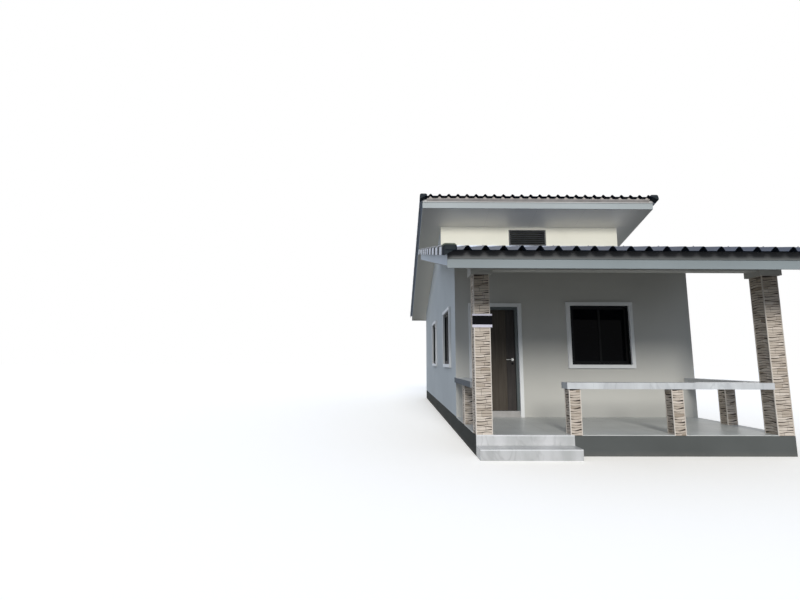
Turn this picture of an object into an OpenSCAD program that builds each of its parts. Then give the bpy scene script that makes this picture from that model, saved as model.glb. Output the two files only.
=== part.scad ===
// Small two-roof bungalow with an open front porch, millimetres.
// X runs across the front, Y from the street to the back, Z up from the ground.

/* [Footprint] */
// Width over the outer faces of the side walls
house_w = 4700; // [4200:50:5600]
// Length from the front of the porch to the back wall's outer face
house_len = 10800; // [9800:50:12600]
// Depth of the open porch in front of the front wall
porch_d = 2150; // [1800:50:2500]
// Distance from the front of the porch to the clerestory wall
clerestory_y = 4820; // [4400:20:5400]
// Thickness of the rendered block walls
wall_t = 100; // [80:5:150]

/* [Base and steps] */
// Height of the porch floor above the ground
porch_h = 305; // [240:5:400]
// Thickness of the porch floor tiles
tile_t = 12; // [8:1:20]
// Rise from the porch floor to the floor inside
inner_rise = 115; // [60:5:180]
// Height of the lower entrance step
step_h = 155; // [120:5:200]
// Depth of the lower entrance step
step_tread = 310; // [260:5:400]
// Width of the entrance steps
step_w = 1440; // [1200:10:1800]
// Thickness of the tile facing on the upper riser
riser_t = 14; // [8:1:20]

/* [Columns, posts and rails] */
// Side of the square stone-faced corner columns
column_w = 250; // [200:10:320]
// Height of the columns above the porch floor
column_h = 2385; // [2200:5:2700]
// Side of the square half-height posts
post_w = 180; // [140:5:240]
// Left edge of the first front post
front_post_x = 1390; // [1200:10:1700]
// Height of the posts above the porch floor
post_h = 660; // [560:5:760]
// Thickness of the rail slab
rail_t = 95; // [60:5:120]
// Overhang of the rail slab on each side of its posts
rail_over = 30; // [15:5:40]
// Height of the plastered column heads at their front face
head_h = 155; // [130:5:220]
// How far the column heads stand out past the stone
head_over = 40; // [10:5:60]
// Height of the porch beam at its front face
beam_h = 80; // [60:5:120]
// Width of the porch beams
beam_w = 200; // [150:10:240]

/* [Front door] */
// Left edge of the doorway
door_x = 340; // [300:10:500]
// Width of the doorway in the wall
door_w = 905; // [860:5:1000]
// Height of the doorway above the inner floor
door_h = 2035; // [1950:5:2150]
// Face width of the door frame's jambs and head
door_frame_w = 42; // [34:1:60]
// Thickness of the door leaf
leaf_t = 40; // [34:1:50]
// Gap round the edges of the door leaf
leaf_gap = 7; // [6.5:0.5:9]
// Radius of the lever's round rose
rose_r = 26; // [22:1:30]
// Radius of the hinge knuckles
hinge_r = 8; // [6:0.5:10]
// Height of one hinge
hinge_h = 100; // [70:5:130]
// Height of the lever above the inner floor
lever_z = 990; // [900:10:1100]
// Length of the lever handles
lever_l = 130; // [110:5:140]

/* [Windows] */
// Width of every window opening
window_w = 1180; // [900:10:1300]
// Height of every window opening
window_h = 1170; // [900:10:1200]
// Height of the window openings above the porch floor
window_sill = 1010; // [850:10:1100]
// Left edge of the front window opening
front_window_x = 2290; // [2100:10:2600]
// Near edge of the first side window, from the porch front
side_window_y1 = 2930; // [2800:10:3000]
// Near edge of the second side window, from the porch front
side_window_y2 = 6200; // [5800:10:6600]
// Face width of the rendered trim bands
trim_w = 70; // [50:5:75]
// How far the trim bands stand proud of the wall
trim_t = 45; // [20:5:60]
// Face width of the fixed window frames
frame_w = 28; // [24:1:36]
// Depth of the window frames
frame_d = 75; // [70:5:90]
// Face width of the sliding sashes' rails and stiles
sash_w = 42; // [34:1:50]
// Depth of each sliding sash
sash_d = 26; // [22:1:28]
// Thickness of the glass
glass_t = 6; // [4:1:10]

/* [Clerestory] */
// Height of the beam under the clerestory wall
clerestory_beam_h = 300; // [200:10:350]
// Left edge of the louvred vent
vent_x = 1810; // [1500:10:2200]
// Width of the vent
vent_w = 990; // [700:10:1200]
// Height of the vent
vent_h = 440; // [360:10:460]
// Distance from the vent's top to the soffit above
vent_drop = 70; // [50:5:90]
// Number of louvre blades
vent_blades = 7; // [5:1:8]
// Face width of the vent's frame
vent_frame_w = 35; // [25:1:45]
// Depth of the vent's frame
vent_d = 60; // [45:5:75]

/* [Roofs] */
// Pitch of the porch roof in degrees
porch_pitch = 13.8; // [12:0.1:15]
// Pitch of the main roof in degrees
main_pitch = 15.5; // [13:0.1:17]
// Height of the clerestory above the porch roof's soffit
clerestory_h = 900; // [860:10:1100]
// Distance from the columns to the porch fascia
porch_over = 1200; // [1000:10:1400]
// Distance from the clerestory to the main front fascia
main_over = 820; // [600:10:1000]
// Distance from the back wall to the back fascia
back_over = 750; // [500:10:900]
// Distance from the side walls to the verge boards
side_over = 530; // [400:10:640]
// Thickness of the soffit boards
soffit_t = 10; // [8:1:16]
// Height of the rafters
rafter_h = 145; // [120:5:175]
// Width of the rafters
rafter_w = 50; // [40:5:75]
// Number of rafters under each roof
rafter_count = 6; // [5:1:7]
// Height of the roof battens
batten_h = 50; // [40:5:60]
// Width of the roof battens
batten_w = 50; // [40:5:75]
// Thickness of the fascia and verge boards
board_t = 16; // [12:1:25]
// Height of the lower board of the eave fascias
eave_fascia_h = 115; // [100:5:130]
// How far the eave fascias hang below their soffits
fascia_drop = 20; // [0:5:30]
// Height of the lower main fascia board
main_fascia_h = 145; // [100:5:150]
// How far the upper fascia strip stands proud
strip_step = 12; // [6:1:20]

/* [Roof sheets] */
// Pitch of the rolls across the sheets
roll_pitch = 225; // [200:5:250]
// Width of one roll at its foot
roll_w = 112; // [100:2:120]
// Height of one roll above its pan
roll_h = 55; // [50:1:65]
// Radius of the rounded top of a roll
roll_r = 28; // [24:1:32]
// Thickness of the sheets
sheet_t = 7; // [6:0.5:8]
// From the verge cap to the first roll's centre on the porch roof
porch_first_roll = 130; // [75:5:150]
// From the verge cap to the first roll's centre on the main roof
main_first_roll = 87; // [75:1:150]
// How far the porch sheets reach past their fascia
porch_sheet_over = 160; // [80:5:180]
// How far the main sheets reach past their fascias
main_sheet_over = 160; // [80:5:180]
// How far the sheets reach past the verge boards
sheet_side = 40; // [30:5:50]
// Distance of the verge cap's leg from the verge board
cap_gap = 70; // [64:2:90]
// Width of the verge caps
cap_w = 175; // [160:5:200]
// Height of the verge cap's leg
cap_leg = 132; // [110:2:140]
// Thickness of the verge caps
cap_t = 8; // [6:1:10]
// Height of the flashing above the rolls at the clerestory
flash_h = 120; // [80:5:130]
// Reach of the flashing down the porch roof
flash_apron = 150; // [100:5:200]
// Thickness of the flashing
flash_t = 3; // [2:0.5:4]

/* [Number plate] */
// Width of the bare plate on the left column
plate_w = 300; // [240:10:360]
// Height of the bare plate
plate_h = 205; // [150:5:260]
// Height of the plate's lower edge above the porch floor
plate_z = 1570; // [1300:10:1800]
// Thickness of the plate
plate_t = 12; // [8:1:20]

/* [Hidden] */
// Running gap between small parts that sit close without touching
seat_gap = 0.3;
// Gap between the door leaf and the stop it closes on
stop_gap = 5;
stop_w = 14;
// Height of the floor inside
floor_z = porch_h + inner_rise;
// Undersides of the column heads, of the porch roof's soffit and of the porch beam
head_z = porch_h + column_h;
porch_soffit_z = head_z + head_h;
beam_z = porch_soffit_z - beam_h;
// Inner and back faces of a column head, measured from the column's outer faces
head_end = column_w + head_over;
// Side posts stand midway between the columns and the wall
side_post_y = (column_w + porch_d - post_w) / 2;
rail_z = porch_h + post_h;
rail_w = post_w + 2 * rail_over;
second_post_x = (front_post_x + house_w - column_w) / 2;
// Windows
window_z = porch_h + window_sill;
back_window_x = (house_w - window_w) / 2;
// Door leaf
leaf_w = door_w - 2 * door_frame_w - 2 * leaf_gap;
leaf_h = door_h - door_frame_w - 2 * leaf_gap;
leaf_x = door_x + door_frame_w + leaf_gap;
leaf_z = floor_z + leaf_gap;
// The leaf's inner face lies level with the inner face of the front wall
leaf_y = porch_d + wall_t - leaf_t;
pivot_x = leaf_x - leaf_gap / 2;
pivot_y = porch_d + wall_t + hinge_r + seat_gap;
// Roof build-up, measured square to the slope, with a hair of room under each layer
rafter_z = soffit_t + seat_gap;
batten_z = rafter_z + rafter_h + seat_gap;
build_up = batten_z + batten_h + seat_gap;
porch_bays = 6;
main_bays = 8;
main_soffit_z = porch_soffit_z + clerestory_y * tan(porch_pitch) + clerestory_h;
curve_fn = 48;
sheet_w = house_w + 2 * (side_over + sheet_side);
// Outer leg and inner edge of the left verge cap
cap_out = side_over + cap_gap;
cap_in_x = cap_w - cap_out;
// Front and back ends of the main roof's boards
main_front = clerestory_y - main_over;
main_back = house_len + back_over;
// Outermost points of the two roofs
cap_rise = roll_h + cap_t + seat_gap;
front_y = -porch_over - porch_sheet_over - cap_rise * sin(porch_pitch);
back_y = main_back + main_sheet_over + cap_rise * sin(main_pitch);

// Underside of the porch roof's soffit at a distance from the porch front
function porch_z(y) = porch_soffit_z + y * tan(porch_pitch);
// Underside of the main roof's soffit at a distance from the porch front
function main_z(y) = main_soffit_z - (y - clerestory_y) * tan(main_pitch);

// Puts the middle of the whole outline, roofs included, at the origin
module on_site() {
    translate([-house_w / 2, -(front_y + back_y) / 2, 0]) children();
}

// Runs a side profile, drawn as [distance from the front, height], across the house
module side_profile(points, x0, x1) {
    translate([x0, 0, 0]) rotate([90, 0, 90]) linear_extrude(x1 - x0) polygon(points);
}

// A layer of the porch roof between two heights over the soffit's underside
module porch_layer(y0, y1, low, high, x0, x1) {
    rise = 1 / cos(porch_pitch);
    side_profile([
        [y0, porch_z(y0) + low * rise], [y1, porch_z(y1) + low * rise],
        [y1, porch_z(y1) + high * rise], [y0, porch_z(y0) + high * rise]
    ], x0, x1);
}

// The same for the main roof
module main_layer(y0, y1, low, high, x0, x1) {
    rise = 1 / cos(main_pitch);
    side_profile([
        [y0, main_z(y0) + low * rise], [y1, main_z(y1) + low * rise],
        [y1, main_z(y1) + high * rise], [y0, main_z(y0) + high * rise]
    ], x0, x1);
}

// Window openings on each wall, as a place in the wall's own plane
module front_opening_frame() {
    translate([front_window_x, porch_d, window_z]) children();
}
module back_opening_frame() {
    translate([back_window_x + window_w, house_len, window_z]) rotate([0, 0, 180]) children();
}
module left_opening_frame(y) {
    translate([0, y + window_w, window_z]) rotate([0, 0, -90]) children();
}
module right_opening_frame(y) {
    translate([house_w, y, window_z]) rotate([0, 0, 90]) children();
}

// Repeats a window piece at every window of the house
module at_every_window() {
    front_opening_frame() children();
    back_opening_frame() children();
    for (y = [side_window_y1, side_window_y2]) {
        left_opening_frame(y) children();
        right_opening_frame(y) children();
    }
}

// The hole that one window leaves in its wall
module window_hole() {
    translate([0, -wall_t, 0]) cube([window_w, 3 * wall_t, window_h]);
}

// Plinth slab under the house, stepped down by the tiles on the porch
module base_slab() {
    color("dimgray") on_site() {
        cube([house_w, house_len, porch_h - tile_t]);
        translate([0, porch_d, 0]) cube([house_w, house_len - porch_d, porch_h]);
    }
}

module porch_floor_tiles() {
    color("darkgray") on_site() difference() {
        translate([0, 0, porch_h - tile_t]) cube([house_w, porch_d, tile_t]);
        for (x = [0, house_w - column_w])
            translate([x, 0, 0]) cube([column_w, column_w, 2 * porch_h]);
        for (x = [front_post_x, second_post_x])
            translate([x, 0, 0]) cube([post_w, post_w, 2 * porch_h]);
        for (x = [0, house_w - post_w])
            translate([x, side_post_y, 0]) cube([post_w, post_w, 2 * porch_h]);
    }
}

module inner_floor() {
    color("lightgray") on_site() translate([wall_t, porch_d + wall_t, porch_h])
        cube([house_w - 2 * wall_t, house_len - porch_d - 2 * wall_t, inner_rise]);
}

// Raised threshold in the doorway
module door_step() {
    color("gainsboro") on_site() translate([door_x, porch_d, porch_h])
        cube([door_w, wall_t, inner_rise]);
}

// Lower step with the tile facing that rises behind it to the porch floor
module entrance_steps() {
    color("gainsboro") on_site() {
        translate([0, -step_tread, 0]) cube([step_w, step_tread, step_h]);
        translate([0, -riser_t, 0]) cube([step_w, riser_t, porch_h]);
    }
}

// A stretch of the front wall, its top cut to the porch roof's slope
module front_wall_part(x0, x1, z0) {
    side_profile([
        [porch_d, z0], [porch_d + wall_t, z0],
        [porch_d + wall_t, porch_z(porch_d + wall_t) - seat_gap],
        [porch_d, porch_z(porch_d) - seat_gap]
    ], x0, x1);
}

module front_wall_left() {
    color("gainsboro") on_site() front_wall_part(wall_t, door_x, porch_h);
}

module front_wall_over_door() {
    color("gainsboro") on_site()
        front_wall_part(door_x, door_x + door_w, floor_z + door_h);
}

module front_wall_right() {
    color("gainsboro") on_site() difference() {
        front_wall_part(door_x + door_w, house_w - wall_t, porch_h);
        front_opening_frame() window_hole();
    }
}

// Side wall outline: low under the porch roof, stepping up at the clerestory
module side_wall(x0) {
    side_profile([
        [porch_d, porch_h], [house_len, porch_h],
        [house_len, main_z(house_len) - seat_gap],
        [clerestory_y, main_z(clerestory_y) - seat_gap],
        [clerestory_y, porch_z(clerestory_y) - seat_gap],
        [porch_d, porch_z(porch_d) - seat_gap]
    ], x0, x0 + wall_t);
}

module left_wall() {
    color("lightsteelblue") on_site() difference() {
        side_wall(0);
        for (y = [side_window_y1, side_window_y2]) left_opening_frame(y) window_hole();
    }
}

module right_wall() {
    color("lightsteelblue") on_site() difference() {
        side_wall(house_w - wall_t);
        for (y = [side_window_y1, side_window_y2]) right_opening_frame(y) window_hole();
    }
}

module back_wall() {
    y0 = house_len - wall_t;
    color("gainsboro") on_site() difference() {
        side_profile([
            [y0, porch_h], [house_len, porch_h],
            [house_len, main_z(house_len) - seat_gap], [y0, main_z(y0) - seat_gap]
        ], wall_t, house_w - wall_t);
        back_opening_frame() window_hole();
    }
}

vent_z = main_z(clerestory_y) - vent_drop - vent_h;

// Wall between the two roofs, with the beam that carries it over the open room
module clerestory_wall() {
    y1 = clerestory_y + wall_t;
    z0 = porch_z(clerestory_y) - clerestory_beam_h;
    color("beige") on_site() difference() {
        side_profile([
            [clerestory_y, z0], [y1, z0], [y1, main_z(y1) - seat_gap],
            [clerestory_y, main_z(clerestory_y) - seat_gap]
        ], wall_t, house_w - wall_t);
        translate([vent_x, clerestory_y - wall_t, vent_z]) cube([vent_w, 3 * wall_t, vent_h]);
    }
}

blade_t = 5;
blade_tilt = 40;

// Louvred vent: a frame with sloping blades let into its jambs
module clerestory_vent() {
    inner_h = vent_h - 2 * vent_frame_w;
    blade_gap = inner_h / vent_blades;
    blade_w = (blade_gap + blade_t) / sin(blade_tilt) * 0.8;
    color("darkslategray") on_site() translate([vent_x, clerestory_y, vent_z]) {
        difference() {
            cube([vent_w, vent_d, vent_h]);
            translate([vent_frame_w, -vent_d, vent_frame_w])
                cube([vent_w - 2 * vent_frame_w, 3 * vent_d, inner_h]);
        }
        for (i = [0 : vent_blades - 1])
            translate([vent_frame_w, vent_d / 2, vent_frame_w + (i + 0.5) * blade_gap])
                rotate([blade_tilt, 0, 0])
                    translate([0, -blade_w / 2, -blade_t / 2])
                        cube([vent_w - 2 * vent_frame_w, blade_w, blade_t]);
    }
}

// A stretch of cast concrete between a level underside and the porch roof's slope
module cast_stretch(y0, y1, z0, x0, x1) {
    side_profile([
        [y0, z0], [y1, z0], [y1, porch_z(y1) - seat_gap], [y0, porch_z(y0) - seat_gap]
    ], x0, x1);
}

// Front porch beam, cast in one with the wider heads of both columns
module porch_beam() {
    color("dimgray") on_site() {
        cast_stretch(0, beam_w, beam_z, 0, house_w);
        for (x = [0, house_w - column_w])
            cast_stretch(-head_over, head_end, head_z, x - head_over, x + head_end);
    }
}

// Sloping beams from the column heads back to the house
module porch_side_beams() {
    depth = beam_h / cos(porch_pitch);
    color("dimgray") on_site() for (x = [0, house_w - beam_w])
        side_profile([
            [head_end, porch_z(head_end) - depth], [porch_d, porch_z(porch_d) - depth],
            [porch_d, porch_z(porch_d) - seat_gap], [head_end, porch_z(head_end) - seat_gap]
        ], x, x + beam_w);
}

// Stone-faced square column standing on the slab
module column(x) {
    translate([x, 0, porch_h - tile_t]) cube([column_w, column_w, column_h + tile_t]);
}

module column_left() {
    color("tan") on_site() column(0);
}

module column_right() {
    color("tan") on_site() column(house_w - column_w);
}

// Half-height posts under the rails
module porch_posts() {
    color("tan") on_site() {
        for (x = [front_post_x, second_post_x])
            translate([x, 0, porch_h - tile_t]) cube([post_w, post_w, post_h + tile_t]);
        for (x = [0, house_w - post_w])
            translate([x, side_post_y, porch_h - tile_t])
                cube([post_w, post_w, post_h + tile_t]);
    }
}

module front_rail() {
    color("whitesmoke") on_site()
        translate([front_post_x - rail_over, -rail_over, rail_z])
            cube([house_w - column_w - front_post_x + rail_over, rail_w, rail_t]);
}

module side_rails() {
    color("whitesmoke") on_site()
        for (x = [-rail_over, house_w - post_w - rail_over])
            translate([x, column_w, rail_z]) cube([rail_w, porch_d - column_w, rail_t]);
}

// Rendered band round the doorway, running down to the porch floor
module door_trim() {
    color("white") on_site() translate([door_x - trim_w, porch_d - trim_t, porch_h])
        difference() {
            cube([door_w + 2 * trim_w, trim_t, inner_rise + door_h + trim_w]);
            translate([trim_w, -trim_t, -porch_h])
                cube([door_w, 3 * trim_t, porch_h + inner_rise + door_h]);
        }
}

// Door frame with a stop on its outer side, sitting on the threshold
module door_frame() {
    color("dimgray") on_site() translate([door_x, porch_d, floor_z]) {
        difference() {
            cube([door_w, wall_t, door_h]);
            translate([door_frame_w, -wall_t, -floor_z])
                cube([door_w - 2 * door_frame_w, 3 * wall_t, floor_z + door_h - door_frame_w]);
        }
        difference() {
            translate([door_frame_w, 0, 0])
                cube([door_w - 2 * door_frame_w, wall_t - leaf_t - stop_gap,
                      door_h - door_frame_w]);
            translate([door_frame_w + stop_w, -wall_t, -floor_z])
                cube([door_w - 2 * door_frame_w - 2 * stop_w, 3 * wall_t,
                      floor_z + door_h - door_frame_w - stop_w]);
        }
    }
}

module door_leaf() {
    color("saddlebrown") on_site() translate([leaf_x, leaf_y, leaf_z])
        cube([leaf_w, leaf_t, leaf_h]);
}

rose_t = 9;
lever_r = 9;
lever_stand = 42;
lever_inset = 62;

// Lever handle on one face of the leaf, pointing towards the hinges
module lever() {
    rotate([90, 0, 0]) cylinder(r = rose_r, h = rose_t, $fn = curve_fn);
    rotate([90, 0, 0]) cylinder(r = lever_r, h = lever_stand + lever_r, $fn = curve_fn);
    translate([0, -lever_stand, 0]) rotate([0, -90, 0])
        cylinder(r = lever_r, h = lever_l, $fn = curve_fn);
}

module door_handle() {
    color("silver") on_site()
        translate([leaf_x + leaf_w - lever_inset, leaf_y, floor_z + lever_z]) {
            lever();
            translate([0, leaf_t, 0]) mirror([0, 1, 0]) lever();
        }
}

hinge_plate_w = 30;
hinge_plate_t = 3;
hinge_inset = 200;
hinge_places = [
    leaf_z + hinge_inset, leaf_z + (leaf_h - hinge_h) / 2, leaf_z + leaf_h - hinge_inset - hinge_h
];

// One half of a hinge: its plate and those thirds of the knuckle that belong to it
module hinge_half(x0, own) {
    third = hinge_h / 3;
    difference() {
        translate([x0, -hinge_r - seat_gap, 0]) cube([hinge_plate_w, hinge_plate_t, hinge_h]);
        for (i = [0 : 2]) if (!own[i])
            translate([0, 0, i * third])
                cylinder(r = hinge_r + 2 * seat_gap, h = third, $fn = curve_fn);
    }
    for (i = [0 : 2]) if (own[i])
        translate([0, 0, i * third + seat_gap])
            cylinder(r = hinge_r, h = third - 2 * seat_gap, $fn = curve_fn);
}

module frame_hinges() {
    color("silver") on_site() for (z = hinge_places)
        translate([pivot_x, pivot_y, z]) hinge_half(-hinge_plate_w, [true, false, true]);
}

module leaf_hinges() {
    color("silver") on_site() for (z = hinge_places)
        translate([pivot_x, pivot_y, z]) hinge_half(0, [false, true, false]);
}

// Rendered band round a window
module window_trim() {
    translate([-trim_w, -trim_t, -trim_w])
        upright_ring(window_w + 2 * trim_w, trim_t, window_h + 2 * trim_w, trim_w);
}

module window_trims() {
    color("white") on_site() at_every_window() window_trim();
}

sash_outer_w = (window_w - 2 * frame_w + sash_w) / 2 - seat_gap;
sash_outer_h = window_h - 2 * frame_w - 2 * seat_gap;
// The two sashes slide on tracks one behind the other
track_y = [(frame_d - 2 * sash_d) / 3, frame_d - sash_d - (frame_d - 2 * sash_d) / 3];
sash_x = [frame_w + seat_gap, window_w - frame_w - seat_gap - sash_outer_w];

// A flat rectangular ring standing in the X-Z plane
module upright_ring(w, d, h, face) {
    difference() {
        cube([w, d, h]);
        translate([face, -d, face]) cube([w - 2 * face, 3 * d, h - 2 * face]);
    }
}

// Sliding window: a fixed outer frame and two sashes
module window_frame() {
    upright_ring(window_w, frame_d, window_h, frame_w);
    for (i = [0, 1]) translate([sash_x[i], track_y[i], frame_w + seat_gap])
        upright_ring(sash_outer_w, sash_d, sash_outer_h, sash_w);
}

module window_frames() {
    color("black") on_site() at_every_window() window_frame();
}

// The panes of the two sashes
module window_panes() {
    for (i = [0, 1])
        translate([sash_x[i] + sash_w, track_y[i] + (sash_d - glass_t) / 2,
                   frame_w + seat_gap + sash_w])
            cube([sash_outer_w - 2 * sash_w, glass_t, sash_outer_h - 2 * sash_w]);
}

module window_glass() {
    color("darkslategray", 0.6) on_site() at_every_window() window_panes();
}

module porch_soffit() {
    color("gray") on_site()
        porch_layer(-porch_over, clerestory_y, 0, soffit_t, -side_over, house_w + side_over);
}

// Room for rafters and battens between the verge boards
frame_x0 = board_t - side_over;
frame_x1 = house_w + side_over - board_t;
rafter_step = (frame_x1 - frame_x0 - rafter_w) / (rafter_count - 1);
porch_top_y = clerestory_y - board_t;

module porch_rafters() {
    color("slategray") on_site() for (i = [0 : rafter_count - 1]) {
        x = frame_x0 + i * rafter_step;
        porch_layer(-porch_over, porch_top_y, rafter_z, rafter_z + rafter_h, x, x + rafter_w);
    }
}

module porch_battens() {
    step = (porch_top_y + porch_over - batten_w) / porch_bays;
    color("slategray") on_site() for (i = [0 : porch_bays]) {
        y = i * step - porch_over;
        porch_layer(y, y + batten_w, batten_z, batten_z + batten_h, frame_x0, frame_x1);
    }
}

module porch_fascia() {
    w = house_w + 2 * side_over;
    z0 = porch_z(-porch_over) - fascia_drop;
    out = board_t + strip_step;
    top = build_up / cos(porch_pitch) - out * tan(porch_pitch) - seat_gap;
    color("silver") on_site() {
        translate([-side_over, -porch_over - board_t, z0]) cube([w, board_t, eave_fascia_h]);
        translate([-side_over, -porch_over - out, z0 + eave_fascia_h])
            cube([w, out, top + fascia_drop - eave_fascia_h]);
    }
}

// Boards up the sides of the porch roof, with a return to the side walls
module porch_verge_boards() {
    color("silver") on_site() {
        for (x = [-side_over, house_w + side_over - board_t])
            porch_layer(-porch_over, clerestory_y, rafter_z, build_up - seat_gap, x, x + board_t);
        for (x = [-side_over + board_t, house_w])
            porch_layer(clerestory_y - board_t, clerestory_y, rafter_z, build_up - seat_gap,
                        x, x + side_over - board_t);
    }
}

// Slope of the rolls' flanks, tangent to their rounded tops
roll_c = roll_h - roll_r;
flank_a = atan2(roll_c, roll_w / 2) + asin(roll_r / norm([roll_w / 2, roll_c]));
// The flanks end a hair inside the rounded top, so that they cut it cleanly
flank_in = 0.5;
// The underside of a roll keeps the sheet's thickness on the flanks
under_w = roll_w - 2 * sheet_t / sin(flank_a) + 2 * sheet_t / tan(flank_a);

// A rounded roll of a given foot width and top radius, drawn from its foot line
module roll_outline(foot, r, lift) {
    tip = [(r - flank_in) * sin(flank_a), lift + (r - flank_in) * cos(flank_a)];
    polygon([[-foot / 2, 0], [foot / 2, 0], tip, [-tip[0], tip[1]]]);
    translate([0, lift]) circle(r, $fn = curve_fn);
}

// Cross-section of the rolled sheets, drawn on the underside of their pans
module sheet_section(first) {
    count = floor((house_w - 2 * cap_in_x - first - roll_w / 2 - sheet_t) / roll_pitch) + 1;
    difference() {
        union() {
            translate([-side_over - sheet_side, 0]) square([sheet_w, sheet_t]);
            for (i = [0 : count - 1]) translate([cap_in_x + first + i * roll_pitch, sheet_t])
                roll_outline(roll_w, roll_r, roll_c);
        }
        for (i = [0 : count - 1]) translate([cap_in_x + first + i * roll_pitch, 0])
            roll_outline(under_w, roll_r - sheet_t, roll_c + sheet_t);
    }
}

// Runs a cross-section down the porch roof, from the clerestory past the fascia
module down_porch_roof(lowest) {
    s0 = -lowest * tan(porch_pitch);
    s1 = (clerestory_y + porch_over + porch_sheet_over
        - (build_up + sheet_t) * sin(porch_pitch)) / cos(porch_pitch);
    translate([0, clerestory_y, porch_z(clerestory_y)]) rotate([90 + porch_pitch, 0, 0])
        translate([0, 0, s0]) linear_extrude(s1 - s0) children();
}

module porch_roof_sheets() {
    color("darkslategray") on_site()
        down_porch_roof(build_up) translate([0, build_up]) sheet_section(porch_first_roll);
}

cap_top = build_up + sheet_t + cap_rise;
cap_round = 40;

// Cross-section of a verge cap: a hood over the first roll with a long outer leg
module cap_section() {
    inner = cap_round - cap_t;
    translate([-cap_out, 0]) difference() {
        union() {
            translate([0, cap_top - cap_leg]) square([cap_w, cap_leg - cap_round]);
            translate([cap_round, cap_top - cap_leg])
                square([cap_w - 2 * cap_round, cap_leg]);
            for (x = [cap_round, cap_w - cap_round])
                translate([x, cap_top - cap_round]) circle(cap_round, $fn = curve_fn);
        }
        translate([cap_t, 0]) square([cap_w - 2 * cap_t, cap_top - cap_round]);
        translate([cap_round, 0]) square([cap_w - 2 * cap_round, cap_top - cap_t]);
        for (x = [cap_round, cap_w - cap_round])
            translate([x, cap_top - cap_round]) circle(inner, $fn = curve_fn);
        translate([cap_w / 2, 0]) square([cap_w, build_up + sheet_t + seat_gap]);
    }
}

module porch_verge_caps() {
    color("darkslategray") on_site() for (side = [0, 1])
        translate([side * house_w, 0, 0]) mirror([side, 0, 0])
            down_porch_roof(cap_top - cap_leg) cap_section();
}

// Apron flashing where the porch sheets meet the clerestory
module porch_flashing() {
    rise = 1 / cos(porch_pitch);
    low = build_up + sheet_t + roll_h + seat_gap;
    y0 = clerestory_y - flash_apron;
    y1 = clerestory_y - flash_t;
    top = porch_z(clerestory_y) + low * rise + flash_h;
    color("gray") on_site() side_profile([
        [clerestory_y, porch_z(clerestory_y) + low * rise], [y0, porch_z(y0) + low * rise],
        [y0, porch_z(y0) + (low + flash_t) * rise], [y1, porch_z(y1) + (low + flash_t) * rise],
        [y1, top], [clerestory_y, top]
    ], 0, house_w);
}

module main_soffit() {
    color("gray") on_site()
        main_layer(main_front, main_back, 0, soffit_t, -side_over, house_w + side_over);
}

module main_rafters() {
    color("slategray") on_site() for (i = [0 : rafter_count - 1]) {
        x = frame_x0 + i * rafter_step;
        main_layer(main_front, main_back, rafter_z, rafter_z + rafter_h, x, x + rafter_w);
    }
}

module main_battens() {
    step = (main_back - main_front - batten_w) / main_bays;
    color("slategray") on_site() for (i = [0 : main_bays]) {
        y = main_front + i * step;
        main_layer(y, y + batten_w, batten_z, batten_z + batten_h, frame_x0, frame_x1);
    }
}

// Two-step fascia at the high front edge and at the low back edge
module main_fascias() {
    w = house_w + 2 * side_over;
    out = board_t + strip_step;
    top = build_up / cos(main_pitch) - seat_gap;
    back_top = top - out * tan(main_pitch);
    back_z = main_z(main_back) - fascia_drop;
    color("silver") on_site() {
        translate([-side_over, main_front - board_t, main_z(main_front)])
            cube([w, board_t, main_fascia_h]);
        translate([-side_over, main_front - out, main_z(main_front) + main_fascia_h])
            cube([w, out, top - main_fascia_h]);
        translate([-side_over, main_back, back_z]) cube([w, board_t, eave_fascia_h]);
        translate([-side_over, main_back, back_z + eave_fascia_h])
            cube([w, out, back_top + fascia_drop - eave_fascia_h]);
    }
}

module main_verge_boards() {
    color("silver") on_site() for (x = [-side_over, house_w + side_over - board_t])
        main_layer(main_front, main_back, rafter_z, build_up - seat_gap, x, x + board_t);
}

// Runs a cross-section up the main roof, from the back eave past the front fascia
module up_main_roof() {
    lift = (build_up + sheet_t) * sin(main_pitch);
    translate([0, main_back, main_z(main_back)]) rotate([90 - main_pitch, 0, 0])
        translate([0, 0, (lift - main_sheet_over) / cos(main_pitch)])
            linear_extrude((main_back - main_front + 2 * main_sheet_over) / cos(main_pitch))
                children();
}

module main_roof_sheets() {
    color("darkslategray") on_site()
        up_main_roof() translate([0, build_up]) sheet_section(main_first_roll);
}

module main_verge_caps() {
    color("darkslategray") on_site() for (side = [0, 1])
        translate([side * house_w, 0, 0]) mirror([side, 0, 0]) up_main_roof() cap_section();
}

// Plate on the left column, left bare
module number_plate() {
    color("white") on_site()
        translate([(column_w - plate_w) / 2, -plate_t, porch_h + plate_z])
            cube([plate_w, plate_t, plate_h]);
}

base_slab();
porch_floor_tiles();
inner_floor();
door_step();
entrance_steps();
front_wall_left();
front_wall_over_door();
front_wall_right();
left_wall();
right_wall();
back_wall();
clerestory_wall();
clerestory_vent();
porch_beam();
porch_side_beams();
column_left();
column_right();
porch_posts();
front_rail();
side_rails();
door_trim();
door_frame();
door_leaf();
door_handle();
frame_hinges();
leaf_hinges();
window_trims();
window_frames();
window_glass();
porch_soffit();
porch_rafters();
porch_battens();
porch_fascia();
porch_verge_boards();
porch_roof_sheets();
porch_verge_caps();
porch_flashing();
main_soffit();
main_rafters();
main_battens();
main_fascias();
main_verge_boards();
main_roof_sheets();
main_verge_caps();
number_plate();
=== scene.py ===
# %% [markdown]
# # A small bungalow with an open porch
# This lesson dresses a finished set of solids, a small rendered house with two
# roofs, so that it looks like a photograph of it. The solids give every size.
# Here they get their paints, tiles and sheets, and the small things that are
# too fine for solid modelling: the strips of the stone tiles, the mortar under
# the roof rolls, the lapped verge caps, the screws and the door's fittings.

# %% Bring in the solids
import math
import random
import bmesh
import bpy
from mathutils import Matrix, Vector


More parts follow.
